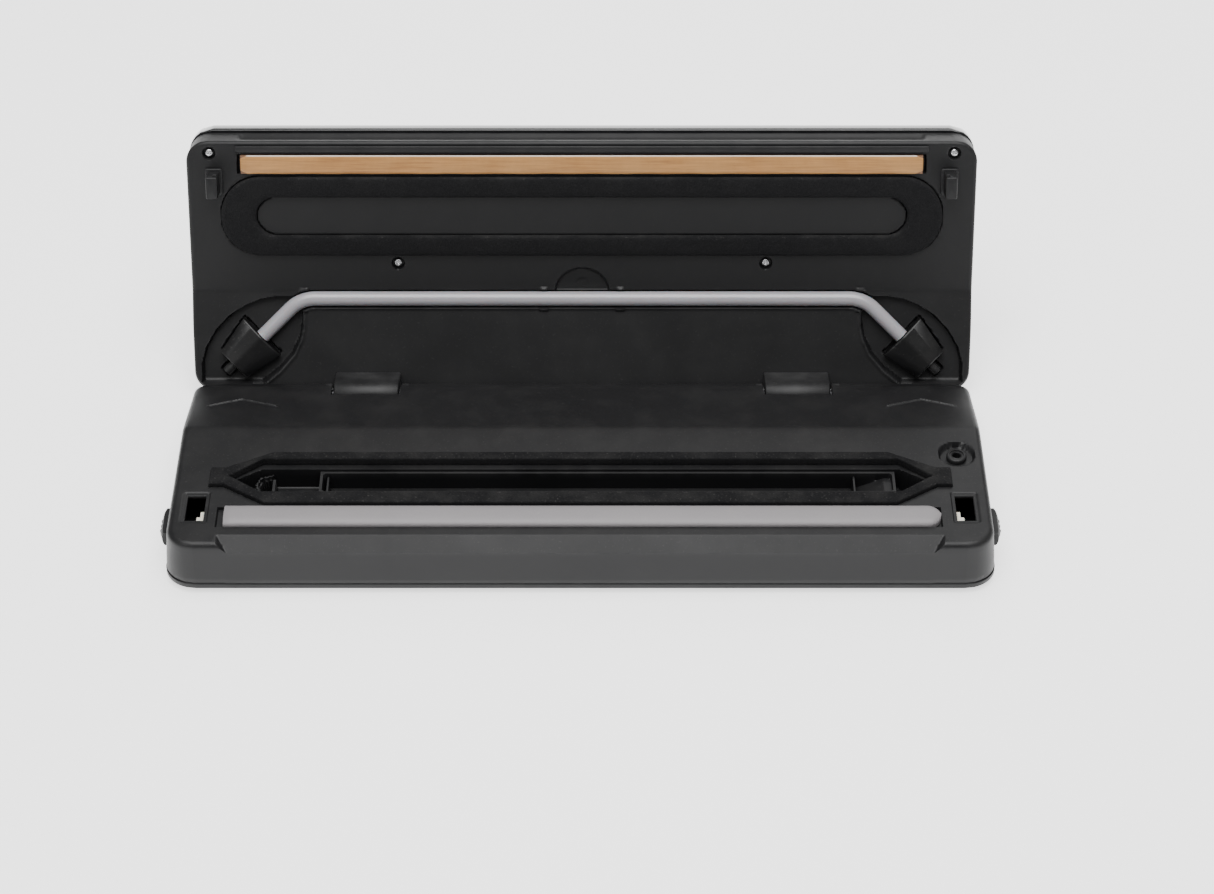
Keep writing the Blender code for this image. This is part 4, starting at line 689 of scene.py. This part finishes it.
def makeButtons():
    # a crowned cap with four grip ribs, pushed in at each side
    def height(y, z):
        u, v = (y - button["y"]) / button["hy"], (z - button["z"]) / button["hz"]
        crown = button["outer"] - 0.9 * np.abs(u) ** 5 - 0.9 * np.abs(v) ** 4
        ribs = 0.5 + 0.5 * np.cos((y - button["y"]) * np.pi / button["ribPitch"])
        return crown + 0.8 * np.exp(-((v * 3) ** 4)) * ribs * (np.abs(u) < 0.66)

    u = np.linspace(button["y"] - button["hy"], button["y"] + button["hy"], 72)
    v = np.linspace(button["z"] - button["hz"], button["z"] + button["hz"], 20)
    rings = [(0.0, 189.6), (0.0, 187.5), (1.0, 187.5), (1.0, button["inner"])]
    for name, side in (("left", -1), ("right", 1)):
        turn = (lambda p, s=side: np.column_stack([s * p[:, 2], p[:, 0], p[:, 1]]))
        cap = slab(f"side_button_{name}", u, v, height, rings, turn)
        if side < 0:
            cap.data.flip_normals()
        settle(cap, f"release_{name}", "bodyPlastic", "body_plastic", f"release_button_{name}")


def makeFeetAndGland():
    for row, y in (("front", base["front"] + 15), ("rear", base["back"] - 14)):
        for name, side in (("left", -1), ("right", 1)):
            r = [(0.6, -28.7), (4.4, -28.7), (4.6, -28.95), (6.0, -29.0), (6.6, -28.7), (7.0, -28.1),
                 (7.0, -26.3), (0.6, -26.3)]
            foot = turned(f"rubber_foot_{row}_{name}", r, (side * 160, y, 0), sharp=30)
            settle(foot, "base", "softRubber", "rubber", f"foot_{row}_{name}")
    for k, (a, b) in enumerate(((-126.4, -122.5), (-88.5, -84.6), (84.6, 88.5), (122.5, 126.4)), 1):
        cheek = roundedBlock(f"hinge_cheek_{k}", (a, 39.4, -23.2), (b, 50.8, -13.4), 2.5, 0.4, around="x")
        settle(cheek, "base", "bodyPlastic", "body_plastic")


lid = {"half": 192.0, "front": -75.6, "back": 48.0, "edge": 1.5, "parting": 21.85, "wall": 1.7,
       "rFront": 10.5, "rBack": 9.0, "coverHalf": 192.3, "coverFront": -77.0, "coverTop": 36.0,
       "coverEdge": 6.0, "coverBack": 32.0, "coverWall": 2.2}
ring = {"y": -38.4, "long": 175.8, "wide": 19.8, "holeLong": 158.8, "holeWide": 9.8, "seat": 1.2}
heater = {"y": -64.5, "half": 164.8, "width": 9.1, "face": 3.85, "clothEnd": 165.4, "bevelFrom": 162.0}
hose = {"r": 3.6, "line": 3.9, "corner": 138.6, "bend": 17.5, "tail": 26.6, "turn": math.radians(44.5),
        "sunk": 0.5}
screws = {"corner": (180.7, -69.8), "middle": (90.2, -14.1)}
screw = {"r": 1.86, "rise": 1.25, "armWide": 0.34, "armLong": 1.25, "shank": 1.2, "tip": -10.0,
         "lidRise": 1.9}
hook = {"y": 2.0, "half": 5.4, "in": 175.8, "out": 181.4, "reach": 12.3, "foot": 1.4, "barb": 1.35}
connector = {"deep": 6.1, "proud": 2.5, "stub": 19.5}
panel = {"x": 110.0, "y": -50.0, "long": 90.0, "wide": 24.0, "first": 80.0, "pitch": 26.0}


def hosePath():
    # straight along the crease, a bend at each side, then a straight tail, on the sloped face
    reach = hose["bend"] * math.tan(hose["turn"] / 2)
    straight = np.arange(0, hose["corner"] - reach, 8.0)
    a = np.linspace(0, hose["turn"], 12)
    bend = np.column_stack([hose["corner"] - reach + hose["bend"] * np.sin(a),
                            hose["line"] + hose["bend"] * (1 - np.cos(a))])
    ahead = np.array([math.cos(hose["turn"]), math.sin(hose["turn"])])
    tail = bend[-1] + np.linspace(0.1, 1, 8)[:, None] * (hose["tail"] - reach) * ahead
    half = np.concatenate([np.column_stack([straight, np.full(len(straight), hose["line"])]), bend, tail])
    return np.concatenate([half[:0:-1] * [-1, 1], half])


def onSlope(p):
    # (across, down the slope, into the lid) to the deck frame
    s, c = math.sin(math.radians(14)), math.cos(math.radians(14))
    return np.stack([p[..., 0], p[..., 1] * c + p[..., 2] * s, lidGap - p[..., 1] * s + p[..., 2] * c], -1)


def pocketDistance(x, s):
    corners = [(137.4, 11.6), (141.5, 2.6), (150, 2.7), (158, 4.0), (165.5, 7.0), (173.5, 12.0),
               (181.0, 20.0), (185.8, 28.5), (187.6, 36.0), (187.6, 46.0), (157.5, 46.0),
               (149.5, 39.5), (142.5, 31.5), (139.0, 24.0), (137.6, 17.5)]
    return polygonDistance(np.abs(x), s, corners)


def connectorDistance(x, s):
    # to the tapered block and its stub, from the end of the hose outwards
    end = hosePath()[-1]
    c, t = math.cos(hose["turn"]), math.sin(hose["turn"])
    half = [(-0.5, -13.6), (20.6, -9.9), (20.6, -3.4), (27.5, -3.4)]
    shape = half + [(a, -b) for a, b in reversed(half)]
    outline = [(end[0] + a * c - b * t, end[1] + a * t + b * c) for a, b in shape]
    return polygonDistance(np.abs(x), s, outline)


def facePlane(y):
    return lidGap - slope * (np.sqrt(y ** 2 + 0.8) + y) / 2


def faceHeight(x, y):
    # the liner's face, plus how far each seat, groove and pocket goes into the lid
    ax, s = np.abs(x), y / math.cos(math.radians(14))
    seat = np.maximum(stadiumDistance(x, y, ring["long"] + 0.4, ring["wide"] + 0.4, ring["y"]),
                      -stadiumDistance(x, y, ring["holeLong"] - 0.4, ring["holeWide"] - 0.4, ring["y"]))
    deep = dip(seat, ring["seat"], 0.3)
    channel = boxDistance(x, y, 0, heater["y"], heater["half"] + 2.3, heater["width"] / 2 + 0.4, 0.5)
    deep = np.maximum(deep, dip(channel, 3.6, 0.4))
    for cx, cy in screws.values():
        deep = np.maximum(deep, dip(np.hypot(ax - cx, y - cy) - 3.2, 2.8, 0.4))
    scoop = np.maximum(np.hypot(x, (y - 1.0) * 1.05) - 13.6, y - 0.6)
    deep = np.maximum(deep, dip(scoop, 2.1, 0.9) * np.clip(0.55 + (y + 12) / 20, 0, 1))
    deep = deep + 0.3 * np.exp(-((np.hypot(x, y + 3.6) - 1.9) / 0.35) ** 2)
    pocket = pocketDistance(x, s)
    deep = np.maximum(deep, dip(pocket, 4.2, 0.7))
    deep = np.maximum(deep, dip(np.maximum(connectorDistance(x, s), pocket), 6.4, 0.8))
    line = lineDistance(x, s, [tuple(p) for p in hosePath()])
    groove = np.where(line < 4.1, hose["sunk"] + np.sqrt(np.clip(4.1 ** 2 - line ** 2, 0, None)), 0)
    deep = np.maximum(deep, np.where(s > -1, groove, 0))
    nubs = 0.0
    for nx, near, far in ((18.8, -1.0, 9.2), (137.0, -0.6, 9.8)):
        for ny in (near, far):
            nubs = nubs + 1.1 * np.exp(-(((ax - nx) / 2.0) ** 4 + ((s - ny) / 0.8) ** 4))
    rim = 0.45 * np.exp(-((line - 5.0) / 0.45) ** 2) * (s > 4) * (ax < 134)
    arc = 0.6 * np.exp(-((pocket - 1.0) / 0.5) ** 2) * (s > 7) * (ax < 162)
    return facePlane(y) + deep - np.where(deep < 0.4, nubs, 0) - np.where(pocket > 0, np.maximum(rim, arc), 0)


def backLimit(z):
    # how far back the lid's rear face lies at each height
    return np.interp(z, [-7.0, 14.5, 26.5, 35.0, 37.0], [48.0, 41.0, 34.0, 20.0, 12.0])


def makeLiner():
    inset = lid["edge"]
    plan = {"half": lid["half"] - inset, "front": lid["front"] + inset, "back": lid["back"] - inset,
            "rFront": lid["rFront"] - inset, "rBack": lid["rBack"] - inset, "narrowing": 0.8}
    xLines = mirroredLines([0, 16, 22, 86, 94.5, 128, 176, 186, 189.3], [0.7, 0.5, 8, 0.4, 5, 0.72, 0.4, 0.7],
                           [134.9, 139.1, 165.9, 167.2, 166.8])
    yLines = spacedLines([plan["front"], -66.4, -54, -22, -18, -10, -1, 12, 46.5],
                         [0.4, 0.6, 0.8, 0.5, 0.5, 0.6, 0.5, 0.8],
                         [-69.45, -69.05, -59.95, -59.55, -58.6, -58.2, -28.9, -28.2, -48.6, -47.9, -18.2,
                          -18.6])
    x, y, outX, outY = planGrid(xLines, yLines, 130.0, **plan)
    z = faceHeight(x, y)
    points = [np.stack([x, y, z], 2).reshape(-1, 3)]
    shares = [0.0, 0.04, 0.2, 0.4, 0.6, 0.8, 0.93, 1.0]
    rounding = np.linspace(0, 0.5 * np.pi, 5)[1:]
    faces, border = shellFaces(len(yLines), len(xLines), len(rounding) + len(shares) - 1)
    bx, by, level = x.ravel()[border], y.ravel()[border], facePlane(y.ravel()[border])
    for a in rounding:
        out, rise = inset * math.sin(a), inset * (1 - math.cos(a))
        points.append(np.stack([bx + outX * out, by + outY * out, level + rise], 1))
    edge = level + inset
    grip = ease((168.5 - np.abs(bx)) / 3.5) * (outY < -0.5)
    for share in shares[1:]:
        zRing = edge + (lid["parting"] - edge) * share
        press = 1.3 * grip * ease((share - 0.08) / 0.4) * ease((1.0 - share) / 0.25)
        yRing = np.minimum(by + outY * inset + press, backLimit(zRing))
        points.append(np.stack([bx + outX * inset, yRing, zRing], 1))
    shell = makePiece("liner_shell", np.concatenate(points), [faces[:, ::-1]], lid=True, sharp=42)
    addModifier(shell, "SOLIDIFY", thickness=lid["wall"] * 0.001, offset=-1.0)
    settle(shell, "lid", "lidPlastic", "lid_plastic", "lid_liner")
    for name, side in (("left", -1), ("right", 1)):
        a = np.linspace(np.pi, 2.5 * np.pi, 28)
        barrel = np.column_stack([hinge["y"] + arms["r"] * np.cos(a), hinge["z"] + arms["r"] * np.sin(a)])
        outline = np.concatenate([[[39.2, -4.7]], barrel, [[46.6, -5.6]]])
        middle = outline.mean(0)
        steps = [(-16.0, 0.9), (-15.7, 0.35), (-15.2, 0.0), (15.2, 0.0), (15.7, 0.35), (16.0, 0.9)]
        away = outline - middle
        away /= np.linalg.norm(away, axis=1)[:, None]
        rings = np.array([np.column_stack([np.full(len(outline), side * arms["x"] + dx), outline - away * e])
                          for dx, e in steps])
        arm = loft(f"hinge_arm_{name}", rings, lid=True, sharp=45)
        settle(arm, "lid", "lidPlastic", "lid_plastic")


def coverHeight(y):
    return np.interp(y, [-200, 11, 16, 20.5, 27, 34.5, 38.5], [36.0, 36.0, 35.5, 34.3, 30.4, 25.2, 21.2])


def makeCover():
    inset = lid["coverEdge"]
    plan = {"half": lid["coverHalf"] - inset, "front": lid["coverFront"] + inset, "back": lid["coverBack"],
            "rFront": 11.5 - inset, "rBack": 6.0, "narrowing": 0.6}
    xLines = mirroredLines([0, 60, 160, 184], [12, 2, 1.2])
    yLines = spacedLines([plan["front"], -64, -36, 8, plan["back"]], [0.8, 0.7, 4, 0.8])
    x, y, outX, outY = planGrid(xLines, yLines, 160.0, **plan)
    seat = boxDistance(x, y, panel["x"], panel["y"], panel["long"] / 2 + 0.5, panel["wide"] / 2 + 0.5, 4.2)
    z = coverHeight(y) - dip(seat, 1.1, 0.5)
    points = [np.stack([x, y, z], 2).reshape(-1, 3)]
    turn = np.linspace(0, 0.5 * np.pi, 9)[1:]
    low = lid["parting"] + 0.3
    faces, border = shellFaces(len(yLines), len(xLines), len(turn) + 4)
    bx, by = x.ravel()[border], y.ravel()[border]
    level = coverHeight(by)
    drop = np.minimum(inset, (level - low) * 0.7)
    reach = np.where(outY > 0.5, 40.0, inset)
    for a in turn:
        zRing = level - drop * (1 - math.cos(a))
        yRing = np.minimum(np.where(outY > 0.5, backLimit(zRing), by + outY * reach * math.sin(a)),
                           backLimit(zRing))
        points.append(np.stack([bx + outX * inset * math.sin(a), yRing, zRing], 1))
    for share, draw in ((0.5, 0.0), (0.85, 0.0), (0.97, 0.15), (1.0, 0.45)):
        zRing = level - drop + (low - level + drop) * share
        yRing = np.minimum(np.where(outY > 0.5, backLimit(zRing), by + outY * (reach - draw)),
                           backLimit(zRing))
        points.append(np.stack([bx + outX * (inset - draw), yRing, zRing], 1))
    cover = makePiece("cover_shell", np.concatenate(points), [faces], lid=True, sharp=50)
    addModifier(cover, "SOLIDIFY", thickness=lid["coverWall"] * 0.001, offset=-1.0)
    settle(cover, "lid", "glossCover", "gloss_cover", "lid_outer_cover")


def makeHeater():
    # the cloth wraps the bar: a low crown across, with its ends drawn to a bevel
    half = heater["width"] / 2
    v = np.linspace(-1, 1, 27)
    crown = heater["face"] - 0.75 + 0.55 * np.abs(v) ** 6
    across = np.concatenate([v, v[::-1]])
    depth = np.concatenate([crown, crown[::-1] + 0.22])
    start, end = heater["bevelFrom"], heater["clothEnd"]
    ends = np.array([start, 163.6, 165.1, end])
    x = np.concatenate([-ends[::-1], np.arange(-160, 161, 4), ends])
    cut = np.clip((np.abs(x) - start) / (end - start), 0, 1)
    waver = 0.06 * np.sin(x * 1.3) * (1 - cut)
    y = heater["y"] + across[None] * (half - cut[:, None] * 1.3) + (across[None] > 0.9) * waver[:, None]
    z = depth[None] + cut[:, None] * 0.35 + 0.04 * np.sin(x * 0.37)[:, None]
    rings = np.stack([np.repeat(x[:, None], len(across), 1), y, z], 2)[:, ::-1]
    settle(loft("woven_tape", rings, lid=True, sharp=50), "lid", "wovenTape", "ptfe_tape", "heater_tape")
    y0 = heater["y"] - half - 1.6 - 3.0
    bar = roundedBlock("clamp_bar", (-168, y0, 3.45), (168, y0 + 3.0, 4.85), 0.5, 0.5, lid=True, around="x")
    settle(bar, "lid", "lidPlastic", "lid_plastic", "tape_clamp_strip")


def stadiumOutline(long, wide, middle, straight, turn):
    run = long - wide
    right = np.linspace(-0.5 * np.pi, 0.5 * np.pi, turn)
    steps = np.linspace(-run, run, straight, endpoint=False)
    bottom = np.column_stack([steps, np.full(straight, middle - wide)])
    arcR = np.column_stack([run + wide * np.cos(right), middle + wide * np.sin(right)])[:-1]
    top = np.column_stack([-steps, np.full(straight, middle + wide)])
    arcL = np.column_stack([-run - wide * np.cos(right), middle - wide * np.sin(right)])[:-1]
    return np.concatenate([bottom, arcR, top, arcL])


def makeLidFoam():
    outer = stadiumOutline(ring["long"], ring["wide"], ring["y"], 60, 40)
    inner = stadiumOutline(ring["holeLong"], ring["holeWide"], ring["y"], 60, 40)
    profile = [(0.0, 5.9), (0.0, 3.1), (0.03, 2.6), (0.1, 2.35), (0.3, 2.3), (0.7, 2.3), (0.9, 2.35),
               (0.97, 2.6), (1.0, 3.1), (1.0, 5.9), (0.5, 5.9)]
    foam = band("lid_foam_ring", outer, inner, profile, lid=True)
    return settle(foam, "lid", "blackFoam", "foam", "lid_gasket")


def makeScrew(name, centre, body, node, lidSide):
    # a domed head over a polar grid, less a cross slot, on a plain shank
    r = np.concatenate([np.linspace(0.04, 1.6, 22), [1.72, 1.82, screw["r"]]])
    a = np.linspace(0, 2 * np.pi, 96, endpoint=False)
    rr, aa = np.meshgrid(r, a, indexing="ij")
    u, v = rr * np.cos(aa), rr * np.sin(aa)
    dome = screw["rise"] - 0.5 * (rr / screw["r"]) ** 4
    arm = np.minimum(*(np.maximum(np.abs(p) - screw["armWide"], np.abs(q) - screw["armLong"])
                       for p, q in ((u, v), (v, u))))
    z = dome - 1.05 * ease((0.12 - arm) / 0.24) * np.clip(1.35 - rr / 1.8, 0, 1)
    rings = [np.stack([u, v, z], 2)]
    for radius, level in ((screw["r"], 0.55), (1.8, 0.0), (screw["shank"], 0.0),
                          (screw["shank"], screw["tip"] + 0.5), (0.7, screw["tip"])):
        rings.append(np.stack([radius * np.cos(a), radius * np.sin(a), np.full(len(a), level)], 1)[None])
    rings = np.concatenate(rings)
    rings[..., 2] *= -1
    head = loft(name, (rings + np.array(centre, float)), lid=lidSide, sharp=32)
    return settle(head, body, "steel", "steel", node)


def makeHooks():
    for name, side in (("left", -1), ("right", 1)):
        middle, tip, grow = latch["y"] + hook["y"], lidGap - hook["reach"], hook["foot"]
        y0, y1 = middle - hook["half"], middle + hook["half"]
        x0, x1 = sorted((side * hook["in"], side * hook["out"]))
        stem = roundedBlock(f"hook_{name}", (x0, y0, tip), (x1, y1, 4.7), 0.7, 0.6, lid=True)
        settle(stem, "lid", "lidPlastic", "lid_plastic", f"latch_hook_{name}")
        foot = roundedBlock(f"hook_foot_{name}", (x0 - grow, y0 - grow, 3.5), (x1 + grow, y1 + grow, 4.8),
                            1.2, 0.5, lid=True)
        settle(foot, "lid", "lidPlastic", "lid_plastic")
        b0, b1 = sorted((side * (hook["in"] + 0.1), side * 177.8))
        barb = roundedBlock(f"hook_barb_{name}", (b0, y0 - hook["barb"], tip + 1.2),
                            (b1, y0 + 1.0, tip + 2.8), 0.35, 0.2, lid=True)
        settle(barb, "lid", "lidPlastic", "lid_plastic")


def makeHose():
    path = hosePath()
    points = onSlope(np.column_stack([path, np.full(len(path), hose["sunk"])]))
    a = np.linspace(0, 2 * np.pi, 28, endpoint=False)
    outline = hose["r"] * np.column_stack([np.cos(a), np.sin(a)])
    tube = swept("spare_hose", points, outline, lid=True, sharp=60)
    settle(tube, "accessory_hose", "clearHose", "hose_silicone", "accessory_hose")
    end, deep, proud = path[-1], connector["deep"], connector["proud"]
    c, s = math.cos(hose["turn"]), math.sin(hose["turn"])
    # a faceted block that tapers away from the hose: each ring has its place along, half width and inset
    steps = [(0.3, 12.0, 0.7), (0.5, 12.5, 0.3), (1.1, 12.8, 0.0), (19.3, 9.1, 0.0), (19.8, 8.8, 0.35),
             (20.0, 8.3, 0.8)]
    tip = [(1.4, -1.0), (2.5, -1.0), (2.5, 5.4), (2.3, 5.8), (1.6, 5.8), (1.4, 5.4)]
    for name, side in (("left", -1), ("right", 1)):
        rings = []
        for along, w, e in steps:
            half = [(-w, deep - e), (-w, -0.6), (-w + 0.9, -1.2), (-w * 0.56, -proud + 0.15 + e),
                    (-w * 0.46, -proud + e), (-1.1, -proud - 0.5 + e)]
            ridge = [(0, -proud - 0.65 + e)]
            section = half + ridge + [(-across, z) for across, z in reversed(half)]
            rings.append([(along, across, z) for across, z in section])
        rings = np.array(rings)
        px = side * (end[0] + rings[..., 0] * c - rings[..., 1] * s)
        py = end[1] + rings[..., 0] * s + rings[..., 1] * c
        rings = onSlope(np.stack([px, py, rings[..., 2]], -1))[:, ::-side]
        block = loft(f"tapered_connector_{name}", rings, lid=True, sharp=24)
        addModifier(block, "BEVEL", width=0.0004, segments=2, limit_method="ANGLE",
                    angle_limit=math.radians(24))
        settle(block, "accessory_hose", "connectorPlastic", "lid_plastic", f"hose_connector_{name}")
        root = np.array([side * (end[0] + connector["stub"] * c), end[1] + connector["stub"] * s, 1.6])
        axis = onSlope(np.array([side * c, s, 0.0])) - onSlope(np.zeros(3))
        stub = turned(f"connector_stub_{name}", tip, onSlope(root), axis, 28, lid=True, closed=True)
        settle(stub, "accessory_hose", "connectorPlastic", "lid_plastic")


def makeKeys():
    for k, name in enumerate(("vacuum_seal", "seal")):
        x, top = panel["first"] + panel["pitch"] * k, lid["coverTop"]
        r = [(0.05, -3.9), (8.5, -3.9), (8.5, -2.7), (7.0, -2.6), (7.0, 0.6), (6.85, 1.1), (6.4, 1.4),
             (5.8, 1.3), (4.6, 1.0), (2.5, 0.8), (0.05, 0.75)]
        profile = [(radius, top + rise) for radius, rise in r]
        key = turned(f"{name}_button", profile, (x, panel["y"], 0), lid=True, sharp=30)
        settle(key, f"{name}_key", "keyPlastic", "key_plastic", f"{name}_key")


def finishNodes():
    # CAD nodes that keep their own shape: the first match names the finish
    rules = {"board": "boardGreen", "transformer": "windingCopper", "tube": "clearHose", "spring": "steel",
             "pin": "darkSteel", "pump_motor": "steel", "heater_bar": "barPhenolic",
             "lid_switch": "barPhenolic", "heating_wire": "heatWire", "window": "redWindow",
             "catch": "ivoryCatch", "gland": "softRubber", "vacuum_pump": "keyPlastic", "": "bodyPlastic"}
    for name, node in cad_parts.items():
        finish = next(f for part, f in rules.items() if part in name)
        node.data.materials.clear()
        node.data.materials.append(finishes[finish])


def makeStudio():
    floorMesh = bpy.data.meshes.new("floor")
    floorMesh.from_pydata([(-6, -6, 0), (6, -6, 0), (6, 6, 0), (-6, 6, 0)], [], [(0, 1, 2, 3)])
    floor = bpy.data.objects.new("floor", floorMesh)
    bpy.context.scene.collection.objects.link(floor)
    paint = bpy.data.materials.new("floorPaint")
    paint.use_nodes = True
    sockets = {"Base Color": (0.9, 0.9, 0.9, 1), "Roughness": 0.6, "Emission Color": (1, 1, 1, 1),
               "Emission Strength": 1.5}
    for key, value in sockets.items():
        paint.node_tree.nodes["Principled BSDF"].inputs[key].default_value = value
    floorMesh.materials.append(paint)
    world = bpy.data.worlds.new("studio")
    bpy.context.scene.world = world
    world.use_nodes = True
    world.node_tree.nodes["Background"].inputs[0].default_value = (1, 1, 1, 1)
    world.node_tree.nodes["Background"].inputs[1].default_value = 0.3
    lamps = [("top_softbox", (0.0, -0.25, 1.7), (0.0, 0.0, 0.0), 1.5, 46.0),
             ("front_left", (-1.3, -1.3, 1.3), (0, 0, 0.05), 0.7, 3.0),
             ("rear_rim", (0.3, 1.3, 1.1), (0, 0.05, 0.1), 1.2, 8.0)]
    for name, place, aim, size, power in lamps:
        light = bpy.data.lights.new(name, "AREA")
        light.size, light.energy = size, power
        lamp = bpy.data.objects.new(name, light)
        bpy.context.scene.collection.objects.link(lamp)
        lamp.location = place
        lamp.rotation_euler = (Vector(aim) - Vector(place)).to_track_quat("-Z", "Y").to_euler()
    camera = bpy.data.cameras.new("camera")
    camera.lens, camera.sensor_width = 92.0, 36.0
    view = bpy.data.objects.new("camera", camera)
    bpy.context.scene.collection.objects.link(view)
    view.location = (0.01228, -1.15627, 0.97879)
    view.rotation_euler = (math.radians(49.6), 0, 0)
    bpy.context.scene.camera = view


makeStudio()
print("studio ready")
makeFinishes()
tapeCentre = openLid(np.array([[0.0, heater["y"], heater["face"]]]))[0] * 0.001 + deckOrigin
tapeColours = {"brown": (0.31, 0.135, 0.035), "tan": (0.49, 0.235, 0.065), "pale": (0.60, 0.34, 0.12)}
woven("wovenTape", tapeColours, tapeCentre, 11000.0)
finishNodes()
print("finishes ready")
makeBaseShell()
makeStrip()
makeBaseFoam()
makeTray()
makePortParts()
makeButtons()
makeFeetAndGland()
print("base ready")
makeLiner()
makeCover()
makeHeater()
makeLidFoam()
for label, (sx, sy) in screws.items():
    for end, side in (("left", -1), ("right", 1)):
        place = (side * sx, sy, lidGap + screw["lidRise"])
        makeScrew(f"{label}_screw_{end}", place, "lid", f"lid_screw_{label}_{end}", True)
for k, (sx, sy) in enumerate([(x, y) for y in (-75.6, 24.0) for x in (-135, 135)], 1):
    makeScrew(f"plate_screw_{k}", (sx, sy, -26.3), "base", f"base_screw_{k}", False)
makeHooks()
makeHose()
makeKeys()
print("lid ready")
